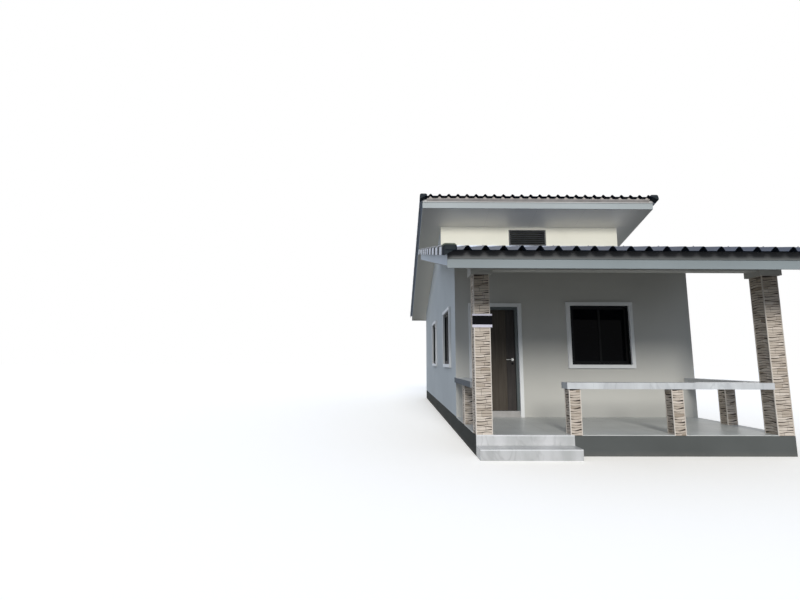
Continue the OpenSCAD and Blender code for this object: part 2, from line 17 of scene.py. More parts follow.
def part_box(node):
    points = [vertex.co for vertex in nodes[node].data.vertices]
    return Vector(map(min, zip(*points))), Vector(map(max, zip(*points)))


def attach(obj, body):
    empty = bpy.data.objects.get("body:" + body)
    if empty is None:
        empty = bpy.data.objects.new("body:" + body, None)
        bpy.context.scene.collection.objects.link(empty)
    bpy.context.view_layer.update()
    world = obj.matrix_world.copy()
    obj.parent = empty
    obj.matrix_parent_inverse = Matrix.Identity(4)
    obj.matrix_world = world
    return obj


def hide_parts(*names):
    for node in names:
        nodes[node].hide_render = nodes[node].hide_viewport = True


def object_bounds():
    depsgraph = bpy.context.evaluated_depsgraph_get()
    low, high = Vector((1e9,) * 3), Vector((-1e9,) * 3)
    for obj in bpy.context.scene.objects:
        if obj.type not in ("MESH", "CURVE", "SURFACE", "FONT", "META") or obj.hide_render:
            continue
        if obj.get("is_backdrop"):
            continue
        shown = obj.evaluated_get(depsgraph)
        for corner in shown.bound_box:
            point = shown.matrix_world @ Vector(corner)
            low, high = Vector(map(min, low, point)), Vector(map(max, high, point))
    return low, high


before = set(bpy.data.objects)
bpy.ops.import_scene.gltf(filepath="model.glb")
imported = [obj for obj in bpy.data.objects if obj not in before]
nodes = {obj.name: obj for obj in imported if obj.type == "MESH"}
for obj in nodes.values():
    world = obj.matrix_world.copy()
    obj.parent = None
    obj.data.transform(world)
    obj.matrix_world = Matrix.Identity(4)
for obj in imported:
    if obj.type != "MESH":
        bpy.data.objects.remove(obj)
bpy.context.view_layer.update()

# %% [markdown]
# ## One corner to measure from
# A house is set out from one corner of its base. The front left corner of the
# base slab is that corner here, with x across the front, y towards the back
# and z up, in millimetres, as on a builder's plan. `at` turns such a place
# into the scene's metres, so that each number below can be read on a plan.

# %% The site's corner and the house's main sizes
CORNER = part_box("base_slab")[0]


def at(x, y, z):
    return CORNER + Vector((x, y, z)) / 1000


def box_mm(name):
    low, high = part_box(name)
    return (low - CORNER) * 1000, (high - CORNER) * 1000


base_high = box_mm("base_slab")[1]
HOUSE_W = base_high.x
PORCH_Z = box_mm("porch_floor_tiles")[1].z
print("house:", round(HOUSE_W), "x", round(base_high.y), "porch floor:", round(PORCH_Z))

# %% [markdown]
# ## Colours and nodes
# Paint colours are chosen on a screen, so they are written as sRGB hex codes.
# Blender's shaders work in linear light, and one function does that change.
# `feed` sets or links the inputs of any node, and `add` makes a node of any
# kind with them. So a material reads as a short list of what its surface has.

# %% Hex to linear colour, and one way to add a node


def linear(code):
    values = [int(code[i : i + 2], 16) / 255 for i in (1, 3, 5)]
    return tuple(v / 12.92 if v <= 0.04045 else ((v + 0.055) / 1.055) ** 2.4 for v in values) + (1,)


def feed(tree, node, inputs):
    for key, value in dict(inputs).items():
        if isinstance(value, bpy.types.NodeSocket):
            tree.links.new(value, node.inputs[key])
        else:
            node.inputs[key].default_value = value


def add(tree, kind, inputs=(), **settings):
    node = tree.nodes.new(kind)
    for key, value in settings.items():
        setattr(node, key, value)
    feed(tree, node, inputs)
    return node


print("white in linear light:", linear("#FFFFFF"))

# %% [markdown]
# ## What every surface of a house has
# Paint on render is never one flat colour. Each roller stroke is a little
# lighter or darker, and the surface under it is uneven. So the shared recipe
# blends two near colours over broad patches, and bends the light with a finer
# grain. Object coordinates are in metres, so a pattern of 20 mm has a scale
# near 1000 / 20. A noise turns about twice within that, which `per_mm` allows.
# Where a real grain is too fine for this view, it is drawn coarser.
# Old outdoor paint has chalked and mirrors little even at a low angle, so its
# `gloss`, Blender's specular level, is set below the usual 0.5 where needed.

# %% Patches of two colours, and a fine grain
PATCH_EDGES = (0.36, 0.64)


def per_mm(size):
    return 500 / size


def start(name, roughness, metallic=0.0, ior=1.5, gloss=0.5):
    material = bpy.data.materials.new(name)
    material.use_nodes = True
    tree = material.node_tree
    shader = tree.nodes["Principled BSDF"]
    feed(tree, shader, {
        "Roughness": roughness, "Metallic": metallic, "IOR": ior, "Specular IOR Level": gloss,
    })
    return material, tree, shader, add(tree, "ShaderNodeTexCoord").outputs["Object"]


def two_tone(tree, place, light, dark, patch):
    noise = add(tree, "ShaderNodeTexNoise", {"Vector": place, "Scale": per_mm(patch), "Detail": 4.0})
    ramp = add(tree, "ShaderNodeValToRGB", {"Fac": noise.outputs["Fac"]})
    for stop, edge, code in zip(ramp.color_ramp.elements, PATCH_EDGES, (dark, light)):
        stop.position = edge
        stop.color = linear(code)
    return ramp.outputs["Color"]


def grain_bump(tree, place, size, depth):
    noise = add(tree, "ShaderNodeTexNoise", {"Vector": place, "Scale": per_mm(size), "Detail": 3.0})
    bump = add(tree, "ShaderNodeBump", {"Height": noise.outputs["Fac"], "Distance": depth / 1000})
    return bump.outputs["Normal"]


print("a grain of 20 mm has a noise scale of", per_mm(20))

# %% A whole finish, and the solids that get it


def finish(name, light, dark, roughness, patch, grain, depth, metallic=0.0, gloss=0.5):
    material, tree, shader, place = start(name, roughness, metallic, gloss=gloss)
    feed(tree, shader, {
        "Base Color": two_tone(tree, place, light, dark, patch),
        "Normal": grain_bump(tree, place, grain, depth),
    })
    return material


def dress(material, *names):
    for name in names:
        for slot in nodes[name].material_slots:
            slot.material = material
    print("dressed with", material.name + ":", ", ".join(names))


print("solids that wait for a finish:", len(nodes))

# %% [markdown]
# ## Paint that depends on the face
# Some solids have faces of more than one look. A mask is a number from 0 to 1
# at each point of a surface. `past` makes one from a place or a direction,
# and `facing` from the way that a face looks. A Mix node then lays one colour
# over another where the mask is 1. The solid's mesh isn't cut for it.

# %% Masks, and two paints that a mask parts


def past(tree, vector, axis, limit, test="GREATER_THAN"):
    part = add(tree, "ShaderNodeSeparateXYZ", {"Vector": vector}).outputs[axis]
    return add(tree, "ShaderNodeMath", {0: part, 1: limit}, operation=test).outputs["Value"]


def facing(tree, axis, limit, test="GREATER_THAN"):
    normal = add(tree, "ShaderNodeNewGeometry").outputs["True Normal"]
    return past(tree, normal, axis, limit, test)


def sideways(tree):
    return add(tree, "ShaderNodeMath", {
        0: facing(tree, "X", 0.5), 1: facing(tree, "X", -0.5, "LESS_THAN"),
    }, operation="MAXIMUM").outputs["Value"]


def two_paints(tree, place, mask, under, over, patch):
    return add(tree, "ShaderNodeMix", {
        0: mask, 6: two_tone(tree, place, *under, patch), 7: two_tone(tree, place, *over, patch),
    }, data_type="RGBA").outputs[2]


print("a face counts as sideways up to", round(math.degrees(math.acos(0.5))), "degrees from the side")

# %% [markdown]
# ## Painted plaster on the walls
# The walls are blocks with cement plaster, painted with a roller in a warm
# light grey emulsion. It is matt, with only a slight orange peel. The real
# roller grain is about 3 mm, too fine for this view, so it is drawn at 30 mm.
# Outside, the long side walls get a paler, cooler tone of their own: painted
# light for the cool daylight on the sides. The clerestory has the same plaster
# in cream, which runs right to the corners, over the ends of the side walls. So
# the side walls' paint asks where a face looks and how far back it lies.

# %% Wall paints
GREY_WALL = ("#C0BEB7", "#B8B6AF")
SIDE_WALL_SKYLIGHT = ("#D3D7D7", "#CBCFCF")
CREAM_WALL = ("#E6E2D2", "#DEDACA")
PLASTER = {"roughness": 0.85, "grain": 30, "depth": 0.5}
dress(finish("grey_wall_emulsion", *GREY_WALL, patch=900, **PLASTER), "front_wall_left",
      "front_wall_over_door", "front_wall_right", "back_wall", "porch_beam", "porch_side_beams")
dress(finish("cream_wall_emulsion", *CREAM_WALL, patch=700, **PLASTER), "clerestory_wall")

# %% The side walls, with cream ends under the main roof
CREAM_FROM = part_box("clerestory_wall")[0].y - 0.1
side_paint_and_skylight, tree, shader, place = start("side_wall_emulsion_painted_skylight", 0.85, gloss=0.25)
# Sideways faces get the paler, cooler tone: painted light for the daylight on the sides.
greys = two_paints(tree, place, sideways(tree), GREY_WALL, SIDE_WALL_SKYLIGHT, 900)
cream_end = add(tree, "ShaderNodeMath", {
    0: facing(tree, "Y", -0.5, "LESS_THAN"), 1: past(tree, place, "Y", CREAM_FROM),
}, operation="MULTIPLY")
creams = two_tone(tree, place, *CREAM_WALL, 700)
colour = add(tree, "ShaderNodeMix", {0: cream_end.outputs["Value"], 6: greys, 7: creams},
             data_type="RGBA")
feed(tree, shader, {"Base Color": colour.outputs[2], "Normal": grain_bump(tree, place, 30, 0.5)})
dress(side_paint_and_skylight, "left_wall", "right_wall")

# %% [markdown]
# ## White bands round the door and windows
# The bands are fine cement render run along a straight edge and painted a flat
# white, the brightest thing on the walls. Its grain is drawn at 25 mm.
# A run edge is never quite sharp. Blender's Bevel node rounds the shading of
# an edge without touching its mesh, which suits a solid that must not change.
# The bands' sideways faces get a fresher, brighter white: painted light for the
# open daylight at the sides.

# %% White render bands
white_band, tree, shader, place = start("white_render_paint", 0.6)
# Sideways faces get the brighter white: painted light.
whites_and_side_light = two_paints(tree, place, sideways(tree), ("#E2E2E0", "#D9D9D7"), ("#FAFBFC", "#F3F4F5"), 400)
soft_edge = add(tree, "ShaderNodeBevel", {"Radius": 0.005}, samples=4)
grain = add(tree, "ShaderNodeTexNoise", {"Vector": place, "Scale": per_mm(25)})
relief = add(tree, "ShaderNodeBump", {
    "Height": grain.outputs["Fac"], "Distance": 0.0003, "Normal": soft_edge.outputs["Normal"],
})
feed(tree, shader, {"Base Color": whites_and_side_light, "Normal": relief.outputs["Normal"]})
dress(white_band, "door_trim", "window_trims")

# %% [markdown]
# ## The dark plinth
# The base slab's sides are painted a dark grey masonry colour, so that splashes
# don't show. Every face but the front is darker still: that is painted shade,
# for the shade round the sides and back. Rain still throws dust against the
# lowest hand's breadth. The height above the slab's foot comes from the same
# object coordinates, and a map over it lays a thin dusty tone down there,
# broken up by noise.

# %% Plinth paint with dust near its foot
SPLASH_H = 80
plinth_paint, tree, shader, place = start("dark_masonry_paint", 0.8, gloss=0.1)
painted_shade_faces = facing(tree, "Y", -0.5)
# Every face but the front gets the darker pair: painted shade.
paint = two_paints(tree, place, painted_shade_faces, ("#5D5F5D", "#565856"), ("#3A3C3A", "#343634"), 500)
height = add(tree, "ShaderNodeSeparateXYZ", {"Vector": place}).outputs["Z"]
low = add(tree, "ShaderNodeMapRange", {
    "Value": height, "From Max": SPLASH_H / 1000, "To Min": 0.5, "To Max": 0.0,
})
speckle = add(tree, "ShaderNodeTexNoise", {"Vector": place, "Scale": per_mm(60), "Detail": 5.0})
dust = add(tree, "ShaderNodeMath", {0: low.outputs["Result"], 1: speckle.outputs["Fac"]},
           operation="MULTIPLY")
dusty = add(tree, "ShaderNodeMix", {0: dust.outputs["Value"], 6: paint, 7: linear("#7E7B73")},
            data_type="RGBA")
feed(tree, shader, {"Base Color": dusty.outputs[2], "Normal": grain_bump(tree, place, 30, 0.4)})
dress(plinth_paint, "base_slab")

# %% [markdown]
# ## Floor tiles with their joints
# The porch has mid-grey porcelain tiles, 400 mm square, matt with a slight
# sheen, and 3 mm cement joints. Blender's Brick Texture draws such a grid when
# its rows aren't shifted. In this low view only the sheen and the nearest
# joints show. The threshold of the door is a plain honed stone in a warmer
# grey. Its grain of 2 mm is drawn at 20 mm.

# %% A grid of joints, and the porch floor


def grouted(tree, place, length, depth, joint, tiles, grout):
    grid = add(tree, "ShaderNodeTexBrick", {
        "Vector": place, "Scale": 1.0, "Mortar Size": joint / 2000, "Mortar Smooth": 0.2,
        "Brick Width": length / 1000, "Row Height": depth / 1000,
        "Color1": (1, 1, 1, 1), "Color2": (1, 1, 1, 1), "Mortar": (0, 0, 0, 1),
    }, offset=0.0, squash=1.0)
    jointed = add(tree, "ShaderNodeMix", {0: grid.outputs["Fac"], 6: tiles, 7: linear(grout)},
                  data_type="RGBA")
    return jointed.outputs[2], grid.outputs["Color"]


porch_tile, tree, shader, place = start("grey_porcelain_tile", 0.35, gloss=0.15)
tiles = two_tone(tree, place, "#CACBC7", "#BFC0BC", 260)
colour, level = grouted(tree, place, 400, 400, 3, tiles, "#908F89")
sunk = add(tree, "ShaderNodeBump", {"Height": level, "Distance": 0.001})
feed(tree, shader, {"Base Color": colour, "Normal": sunk.outputs["Normal"]})
dress(porch_tile, "porch_floor_tiles")
dress(finish("grey_threshold_stone", "#9E9B98", "#93908C", roughness=0.4, patch=60, grain=20,
             depth=0.1), "door_step")

# %% [markdown]
# ## Marble-look tiles
# The pale tiles on the steps and rails are glazed. Their veins are the narrow
# places where a stretched noise crosses its middle value, as in real marble,
# where veins run along folds. The side rails are tiled on top and inside.
# Their outer faces get a flat grey without shine: painted shade, for the shade
# along the rails' outsides. So that finish asks how far out a place lies, and
# turns the specular level off there.

# %% Veins, and tiles for the steps and the front rail
MARBLE_TILE = 600
RAIL_MARBLE = ("#D4D6D6", "#C1C2C3", "#9DA0A2")
DRAWN_UP = (1.0, 1.0, 0.45)
FOLD_SIZE, CLOUD_SIZE = 240, 130
VEIN_WIDTH, VEIN_STRENGTH = 0.03, 0.32


def marble(tree, place, light, dark, vein):
    drawn_up = add(tree, "ShaderNodeVectorMath", {0: place, 1: DRAWN_UP},
                   operation="MULTIPLY").outputs["Vector"]
    folds = add(tree, "ShaderNodeTexNoise", {
        "Vector": drawn_up, "Scale": per_mm(FOLD_SIZE), "Detail": 6.0, "Distortion": 0.9,
    })
    away = add(tree, "ShaderNodeMath", {0: folds.outputs["Fac"], 1: 0.5}, operation="SUBTRACT")
    near = add(tree, "ShaderNodeMath", {0: away.outputs["Value"]}, operation="ABSOLUTE")
    strength = add(tree, "ShaderNodeMapRange", {
        "Value": near.outputs["Value"], "From Max": VEIN_WIDTH, "To Min": VEIN_STRENGTH, "To Max": 0.0,
    })
    cloudy = two_tone(tree, drawn_up, light, dark, CLOUD_SIZE)
    return add(tree, "ShaderNodeMix", {0: strength.outputs["Result"], 6: cloudy, 7: linear(vein)},
               data_type="RGBA").outputs[2]


def lay_marble(tree, shader, place, tiles):
    colour, level = grouted(tree, place, MARBLE_TILE, MARBLE_TILE, 2, tiles, "#A9ACAC")
    edge = add(tree, "ShaderNodeBevel", {"Radius": 0.003}, samples=4)
    feed(tree, shader, {"Base Color": colour, "Normal": edge.outputs["Normal"]})


for name, tones, node in (
    ("marble_look_step_tile", ("#CBCAC9", "#B5B5B3", "#969593"), "entrance_steps"),
    ("marble_look_rail_tile", RAIL_MARBLE, "front_rail"),
):
    marble_tile, tree, shader, place = start(name, 0.22)
    lay_marble(tree, shader, place, marble(tree, place, *tones))
    dress(marble_tile, node)

# %% Side rails with painted shade on their outer faces
RAIL_GLOSS = 0.12
OUTER_STRIP = 0.032
rail_tile, tree, shader, place = start("marble_look_side_rail_tile", 0.22, gloss=RAIL_GLOSS)
low_x, high_x = (corner.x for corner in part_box("side_rails"))
inside = add(tree, "ShaderNodeMath", {
    0: add(tree, "ShaderNodeSeparateXYZ", {"Vector": place}).outputs["X"],
    1: (low_x + high_x) / 2, 2: (high_x - low_x) / 2 - OUTER_STRIP,
}, operation="COMPARE")
tiled = add(tree, "ShaderNodeMath", {0: inside.outputs["Value"], 1: facing(tree, "Z", 0.5)},
            operation="MAXIMUM").outputs["Value"]
# Outer faces get a flat grey: painted shade.
tiles_and_painted_shade = add(tree, "ShaderNodeMix", {
    0: tiled, 6: linear("#86888A"), 7: marble(tree, place, *RAIL_MARBLE),
}, data_type="RGBA")
level = add(tree, "ShaderNodeMath", {0: tiled, 1: RAIL_GLOSS}, operation="MULTIPLY")
feed(tree, shader, {"Specular IOR Level": level.outputs["Value"]})
lay_marble(tree, shader, place, tiles_and_painted_shade.outputs[2])
dress(rail_tile, "side_rails")

# %% [markdown]
# ## Screed and soffit boards
# The floor inside is steel-trowelled screed, smooth and a little cloudy.
# Soffits are fibre-cement boards, painted off-white, with thin joints every
# 1.2 m. They face down, so they are lit only by what comes back from below and
# from the walls, and look far darker than their paint. The main one has a
# satin paint that mirrors the sunlit wall below it. Past the side walls there
# is nothing to mirror, so the paint fades there to a duller tone, and to a
# darker one that is painted shade for the shade over the sides.

# %% Screed and soffits
FADE_FROM, FADE_TO = HOUSE_W / 2 - 300, HOUSE_W / 2 + 500
dress(finish("trowelled_screed", "#8D8B85", "#7F7D77", roughness=0.6, patch=300, grain=40, depth=0.5),
      "inner_floor")


def soffit_paint(name, light, dark, joint, side, satin, shine):
    material, tree, shader, place = start(name, 0.8)
    off_middle = add(tree, "ShaderNodeMath", {
        0: add(tree, "ShaderNodeSeparateXYZ", {"Vector": place}).outputs["X"],
        1: at(HOUSE_W / 2, 0, 0).x,
    }, operation="SUBTRACT")
    distance = add(tree, "ShaderNodeMath", {0: off_middle.outputs["Value"]}, operation="ABSOLUTE")
    out = add(tree, "ShaderNodeMapRange", {
        "Value": distance.outputs["Value"], "From Min": FADE_FROM / 1000, "From Max": FADE_TO / 1000,
    }, interpolation_type="SMOOTHSTEP").outputs["Result"]
    rough = add(tree, "ShaderNodeMapRange", {"Value": out, "To Min": satin, "To Max": 0.8})
    level = add(tree, "ShaderNodeMapRange", {"Value": out, "To Min": shine, "To Max": 0.4})
    # Past the side walls the boards turn to the darker side tone: painted shade.
    boards_and_side_shade = add(tree, "ShaderNodeMix", {
        0: out, 6: two_tone(tree, place, light, dark, 700), 7: linear(side),
    }, data_type="RGBA")
    feed(tree, shader, {
        "Base Color": grouted(tree, place, 1200, 2400, 4, boards_and_side_shade.outputs[2], joint)[0],
        "Roughness": rough.outputs["Result"], "Specular IOR Level": level.outputs["Result"],
        "Normal": grain_bump(tree, place, 40, 0.3),
    })
    return material


dress(soffit_paint("main_soffit_paint", "#F8F3E6", "#F1ECDF", "#D8D4C8",
                   side="#D2CEC4", satin=0.38, shine=1.0), "main_soffit")
dress(soffit_paint("porch_soffit_paint", "#A3A29E", "#9A9995", "#83827F",
                   side="#9E9D99", satin=0.8, shine=0.64), "porch_soffit")

# %% [markdown]
# ## Two-step fascias
# Each fascia is a lower board with a strip above it that stands 12 mm proud,
# both in an even satin gloss, and the two have different greys. Both are in
# one solid, so the paint changes with the height: a Map Range node turns the
# height into a share of the whole, and a ramp without blending switches the
# paint at each edge. The main roof's high front and low back fascias share one
# solid, so its ramp has four steps. The top of the porch strip is painted near
# black, as painted shade under the overhanging sheets. That fades downwards,
# so a second Map Range blends it in. The porch fascia's greys are darker than
# the main one's too: painted shade for the porch eave, which lies in shade.

# %% Fascia paints
EAVE_BOARD_H, FRONT_STRIP_H = 115, 68
SHADE_TOP, SHADE_FOOT = 55, 110


def fascia_paint(name, low_z, high_z, edges, board, strip, sheet_shade=0.0):
    material, tree, shader, place = start(name, 0.6)
    height = add(tree, "ShaderNodeSeparateXYZ", {"Vector": place}).outputs["Z"]
    share = add(tree, "ShaderNodeMapRange", {
        "Value": height, "From Min": at(0, 0, low_z).z, "From Max": at(0, 0, high_z).z,
    })
    switch = add(tree, "ShaderNodeValToRGB", {"Fac": share.outputs["Result"]})
    steps = switch.color_ramp
    steps.interpolation = "CONSTANT"
    steps.elements.remove(steps.elements[1])
    for number, edge in enumerate(edges):
        step = steps.elements.new((edge - low_z) / (high_z - low_z))
        step.color = (0, 0, 0, 1) if number % 2 else (1, 1, 1, 1)
    greys = two_paints(tree, place, switch.outputs["Color"], board, strip, 800)
    # The strip's top fades to near black: painted shade under the sheets.
    shade_amount = add(tree, "ShaderNodeMapRange", {
        "Value": height, "From Min": at(0, 0, high_z - SHADE_FOOT).z,
        "From Max": at(0, 0, high_z - SHADE_TOP).z, "To Max": sheet_shade,
    })
    with_painted_shade = add(tree, "ShaderNodeMix", {0: shade_amount.outputs["Result"], 6: greys, 7: linear("#131418")},
                  data_type="RGBA")
    soft = add(tree, "ShaderNodeBevel", {"Radius": 0.003}, samples=4)
    feed(tree, shader, {"Base Color": with_painted_shade.outputs[2], "Normal": soft.outputs["Normal"]})
    return material


print("eave board:", EAVE_BOARD_H, "mm, front strip:", FRONT_STRIP_H, "mm")

# %% [markdown]
# The verge boards are painted too. They have weathered to a chalky skin, and
# those of the main roof are a darker grey.

# %% Fascias and verge boards in their greys
porch_low, porch_high = (corner.z for corner in box_mm("porch_fascia"))
main_low, main_high = (corner.z for corner in box_mm("main_fascias"))
BELOW_FRONT = 1000
# The porch fascia's greys are darker copies of the main one's: painted shade for the porch eave.
dress(fascia_paint("porch_fascia_paint", porch_low, porch_high, [porch_low + EAVE_BOARD_H],
                   ("#8B9395", "#838B8D"), ("#646665", "#5C5E5D"), sheet_shade=1.0), "porch_fascia")
dress(fascia_paint("main_fascia_paint", main_low, main_high,
                   [main_low + EAVE_BOARD_H, main_high - BELOW_FRONT, main_high - FRONT_STRIP_H],
                   ("#A9AFAF", "#A1A7A7"), ("#BDBBB8", "#B5B3B0")), "main_fascias")
VERGE = {"roughness": 0.7, "patch": 800, "grain": 40, "depth": 0.3, "gloss": 0.3}
board_paint = finish("verge_board_paint", "#DAE1E8", "#D2D9E0", **VERGE)
high_board_paint = finish("high_verge_board_paint", "#9AA3AD", "#929BA5", **VERGE)
dress(board_paint, "porch_verge_boards")
dress(high_board_paint, "main_verge_boards")

# %% [markdown]
# ## Steel, aluminium and glass
# The roof frame is red-oxide primed steel, brushed on, hardly ever seen. The
# window frames are black powder-coated aluminium, an even satin skin. The
# panes are dark tinted float glass: they let a little light through, and the
# closed rooms behind them keep them near black. The studio is white all
# round, which no real place is, so their mirroring is turned down with the
# specular level. The door frame is painted slate grey, and the vent has a dark
# grey powder coat. Hinges and the lever are satin stainless steel, a metal, so
# their colour is in their reflections. The grain of a brush, a powder coat or
# a satin polish is under 1 mm, and is drawn at 8 to 20 mm so that it shows.

# %% Metals and glass
primed_steel = finish("primed_steel", "#7A4A3C", "#6C4034", roughness=0.6, patch=200, grain=20,
                      depth=0.2)
black_coat = finish("black_powder_coat", "#08090B", "#060709", roughness=0.5, patch=150, grain=12,
                    depth=0.1, gloss=0.1)
slate_frame = finish("slate_frame_paint", "#3F4748", "#394142", roughness=0.45, patch=300, grain=20,
                     depth=0.2)
satin_steel = finish("satin_stainless_steel", "#C9C9C6", "#BDBDBA", roughness=0.28, patch=60, grain=8,
                     depth=0.05, metallic=1.0)
vent_paint = finish("vent_grey_coat", "#3D3E3F", "#363738", roughness=0.55, patch=200, grain=15,
                    depth=0.15)
tinted_glass, tree, shader, place = start("tinted_float_glass", 0.02, ior=1.52, gloss=0.002)
feed(tree, shader, {
    "Transmission Weight": 0.06, "Base Color": two_tone(tree, place, "#06070A", "#040507", 500),
})
dress(primed_steel, "porch_rafters", "porch_battens", "main_rafters", "main_battens")
dress(black_coat, "window_frames")
dress(slate_frame, "door_frame")
dress(satin_steel, "door_handle", "frame_hinges", "leaf_hinges")
dress(vent_paint, "clerestory_vent")
dress(tinted_glass, "window_glass")

# %% [markdown]
# ## Roof sheets
# Rolled fibre-cement sheets in a charcoal colour, sprayed on at the factory
# with a slight gloss. Dust and lichen settle where water runs slowly, so they
# get a faint lighter bloom over broad patches. Only the upper faces are
# glossy. Cut ends and undersides are raw, without shine, and painted near
# black: partly their raw colour and partly painted shade, for the deep shade
# under the eaves. The way a face looks decides which it gets. The verge caps
# are the same stuff, gone dull, and the apron under the clerestory is
# zinc-coated sheet metal with soft dents. The sheets' grit is about 1 mm, and
# is drawn at 18 mm.

# %% Roof sheet paint and flashing


def weathered(tree, vector, under, over, size, detail, begin, full, most):
    noise = add(tree, "ShaderNodeTexNoise", {"Vector": vector, "Scale": per_mm(size), "Detail": detail})
    amount = add(tree, "ShaderNodeMapRange", {
        "Value": noise.outputs["Fac"], "From Min": begin, "From Max": full, "To Max": most,
    })
    return add(tree, "ShaderNodeMix", {0: amount.outputs["Result"], 6: under, 7: linear(over)},
               data_type="RGBA").outputs[2]


sheet_paint, tree, shader, place = start("charcoal_sheet_paint", 0.44)
charcoal = two_tone(tree, place, "#465065", "#3D4659", 350)
bloomed = weathered(tree, place, charcoal, "#565D69", size=1400, detail=6.0, begin=0.5, full=0.8,
                    most=0.35)
# Ends and undersides get near black: partly raw colour, partly painted shade.
raw_and_shaded = facing(tree, "Z", 0.35, "LESS_THAN")
colour = add(tree, "ShaderNodeMix", {0: raw_and_shaded, 6: bloomed, 7: linear("#141A24")}, data_type="RGBA")
dull = add(tree, "ShaderNodeMapRange", {"Value": raw_and_shaded, "To Min": 0.44, "To Max": 0.9})
level = add(tree, "ShaderNodeMapRange", {"Value": raw_and_shaded, "To Min": 0.5, "To Max": 0.05})
feed(tree, shader, {
    "Base Color": colour.outputs[2], "Roughness": dull.outputs["Result"],
    "Specular IOR Level": level.outputs["Result"], "Normal": grain_bump(tree, place, 18, 0.35),
})
dress(sheet_paint, "porch_roof_sheets", "main_roof_sheets")
dress(finish("charcoal_cap_paint", "#262A35", "#20242E", roughness=0.7, patch=350, grain=18,
             depth=0.35, gloss=0.12), "porch_verge_caps", "main_verge_caps")
dress(finish("weathered_zinc_sheet", "#B4BDCE", "#A6AFC0", roughness=0.5, patch=250, grain=60,
             depth=0.6, metallic=0.6), "porch_flashing")

# %% [markdown]
# ## Making pieces
# The fine pieces below are all made the same way: their corners go into a
# bmesh, which is a mesh that is open for building. `add_block` puts a box into
# it, and `add_bar` an outline that is pulled from one end to the other. `arc`
# gives the round stretches of an outline, in degrees. `make` then closes the
# mesh, gives it its material and lets it ride on the house or the door.

# %% From a bmesh to a piece


def make(name, shape, material, body="house", smooth=None):
    bmesh.ops.recalc_face_normals(shape, faces=shape.faces)
    mesh = bpy.data.meshes.new(name)
    shape.to_mesh(mesh)
    shape.free()
    mesh.materials.append(material)
    if smooth:
        mesh.shade_smooth()
        mesh.set_sharp_from_angle(angle=math.radians(smooth))
    piece = bpy.data.objects.new(name, mesh)
    bpy.context.scene.collection.objects.link(piece)
    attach(piece, body)
    print("made", name, "with", len(mesh.polygons), "faces")
    return piece


print("a piece rides on the house, unless another body is named")

# %% Blocks, bars and arcs


def add_block(shape, low, high, round_edge=0.0):
    corners = bmesh.ops.create_cube(shape, size=1)["verts"]
    for corner in corners:
        corner.co = at(*(low[i] + (corner.co[i] + 0.5) * (high[i] - low[i]) for i in range(3)))
    if round_edge:
        edges = {edge for corner in corners for edge in corner.link_edges}
        bmesh.ops.bevel(shape, geom=list(edges), offset=round_edge / 1000, segments=3,
                        affect="EDGES", profile=0.5)


def add_bar(shape, outline, place, first, last):
    rings = [[shape.verts.new(at(*place(a, b, s))) for a, b in outline] for s in (first, last)]
    for i in range(len(outline)):
        shape.faces.new((rings[0][i - 1], rings[0][i], rings[1][i], rings[1][i - 1]))
    shape.faces.new(rings[0][::-1])
    shape.faces.new(rings[1])


def arc(radius, first, last, count):
    angles = [math.radians(first + (last - first) * i / count) for i in range(count + 1)]
    return [(radius * math.cos(a), radius * math.sin(a)) for a in angles]


def circle(radius, count):
    return arc(radius, 0, 360, count)[:-1]


trial = bmesh.new()
add_block(trial, (0, 0, 0), (10, 10, 10), 1.0)
print("a block with rounded edges has", len(trial.faces), "faces")
trial.free()

# %% [markdown]
# ## Split-stone tiles on the columns and posts
# Columns and posts are faced with ceramic tiles that copy split ledge stone:
# about eight thin courses to a 312 mm tile, smooth cream and beige faces, and
# dark gaps that flow up and down and open like wedges. The same tile repeats
# up the column. A bump pattern alone looks flat at an edge, so the courses are
# real relief here: each is a narrow pillow between two waving lines, a few
# millimetres deep, in front of a dark core. `Random Per Island` gives every
# stone its own tone without naming any of them. In the white studio the glaze
# would mirror too much, so its specular level is low. Pores of 1 mm are drawn
# at 12 mm.

# %% Stone, gap and edge-trim finishes
STONE_TONES = ((0.2, "#C3B6A8"), (0.5, "#CDC1B3"), (0.7, "#B8AB9C"), (0.85, "#DBCFC2"))
stone_face, tree, shader, place = start("split_stone_glaze", 0.5, gloss=0.02)
island = add(tree, "ShaderNodeNewGeometry").outputs["Random Per Island"]
tones = add(tree, "ShaderNodeValToRGB", {"Fac": island})
tones.color_ramp.elements[0].color = linear("#A39585")
tones.color_ramp.elements[1].color = linear("#D2C6B8")
for position, code in STONE_TONES:
    tones.color_ramp.elements.new(position).color = linear(code)
flat = add(tree, "ShaderNodeVectorMath", {0: place, 1: (1.0, 1.0, 7.0)},
           operation="MULTIPLY").outputs["Vector"]
streaked = weathered(tree, flat, tones.outputs["Color"], "#8F8171", size=90, detail=5.0, begin=0.52,
                     full=0.72, most=0.3)
feed(tree, shader, {"Base Color": streaked, "Normal": grain_bump(tree, flat, 12, 0.8)})
gap_shade = finish("stone_gap_shade", "#40352D", "#312821", roughness=0.9, patch=60, grain=12,
                   depth=0.5)
trim_plastic = finish("cream_edge_trim", "#D9D0C5", "#D0C7BC", roughness=0.35, patch=300, grain=30,
                      depth=0.05, gloss=0.05)
print("stone tones:", len(tones.color_ramp.elements))

# %% [markdown]
# A line between two courses waves slowly, and its gap is widest at one place,
# `open_at`, and closes over the `reach` to both sides. Both are shares of the
# tile's width, and all lengths are in millimetres. The dice are seeded anew
# for each tile, so every tile of a face is the same, as from one mould.

# %% The waving lines between courses
TILE, COURSES = 312.0, 8
FULL_TURN = 6.28
LEAST_GAP = 1.2


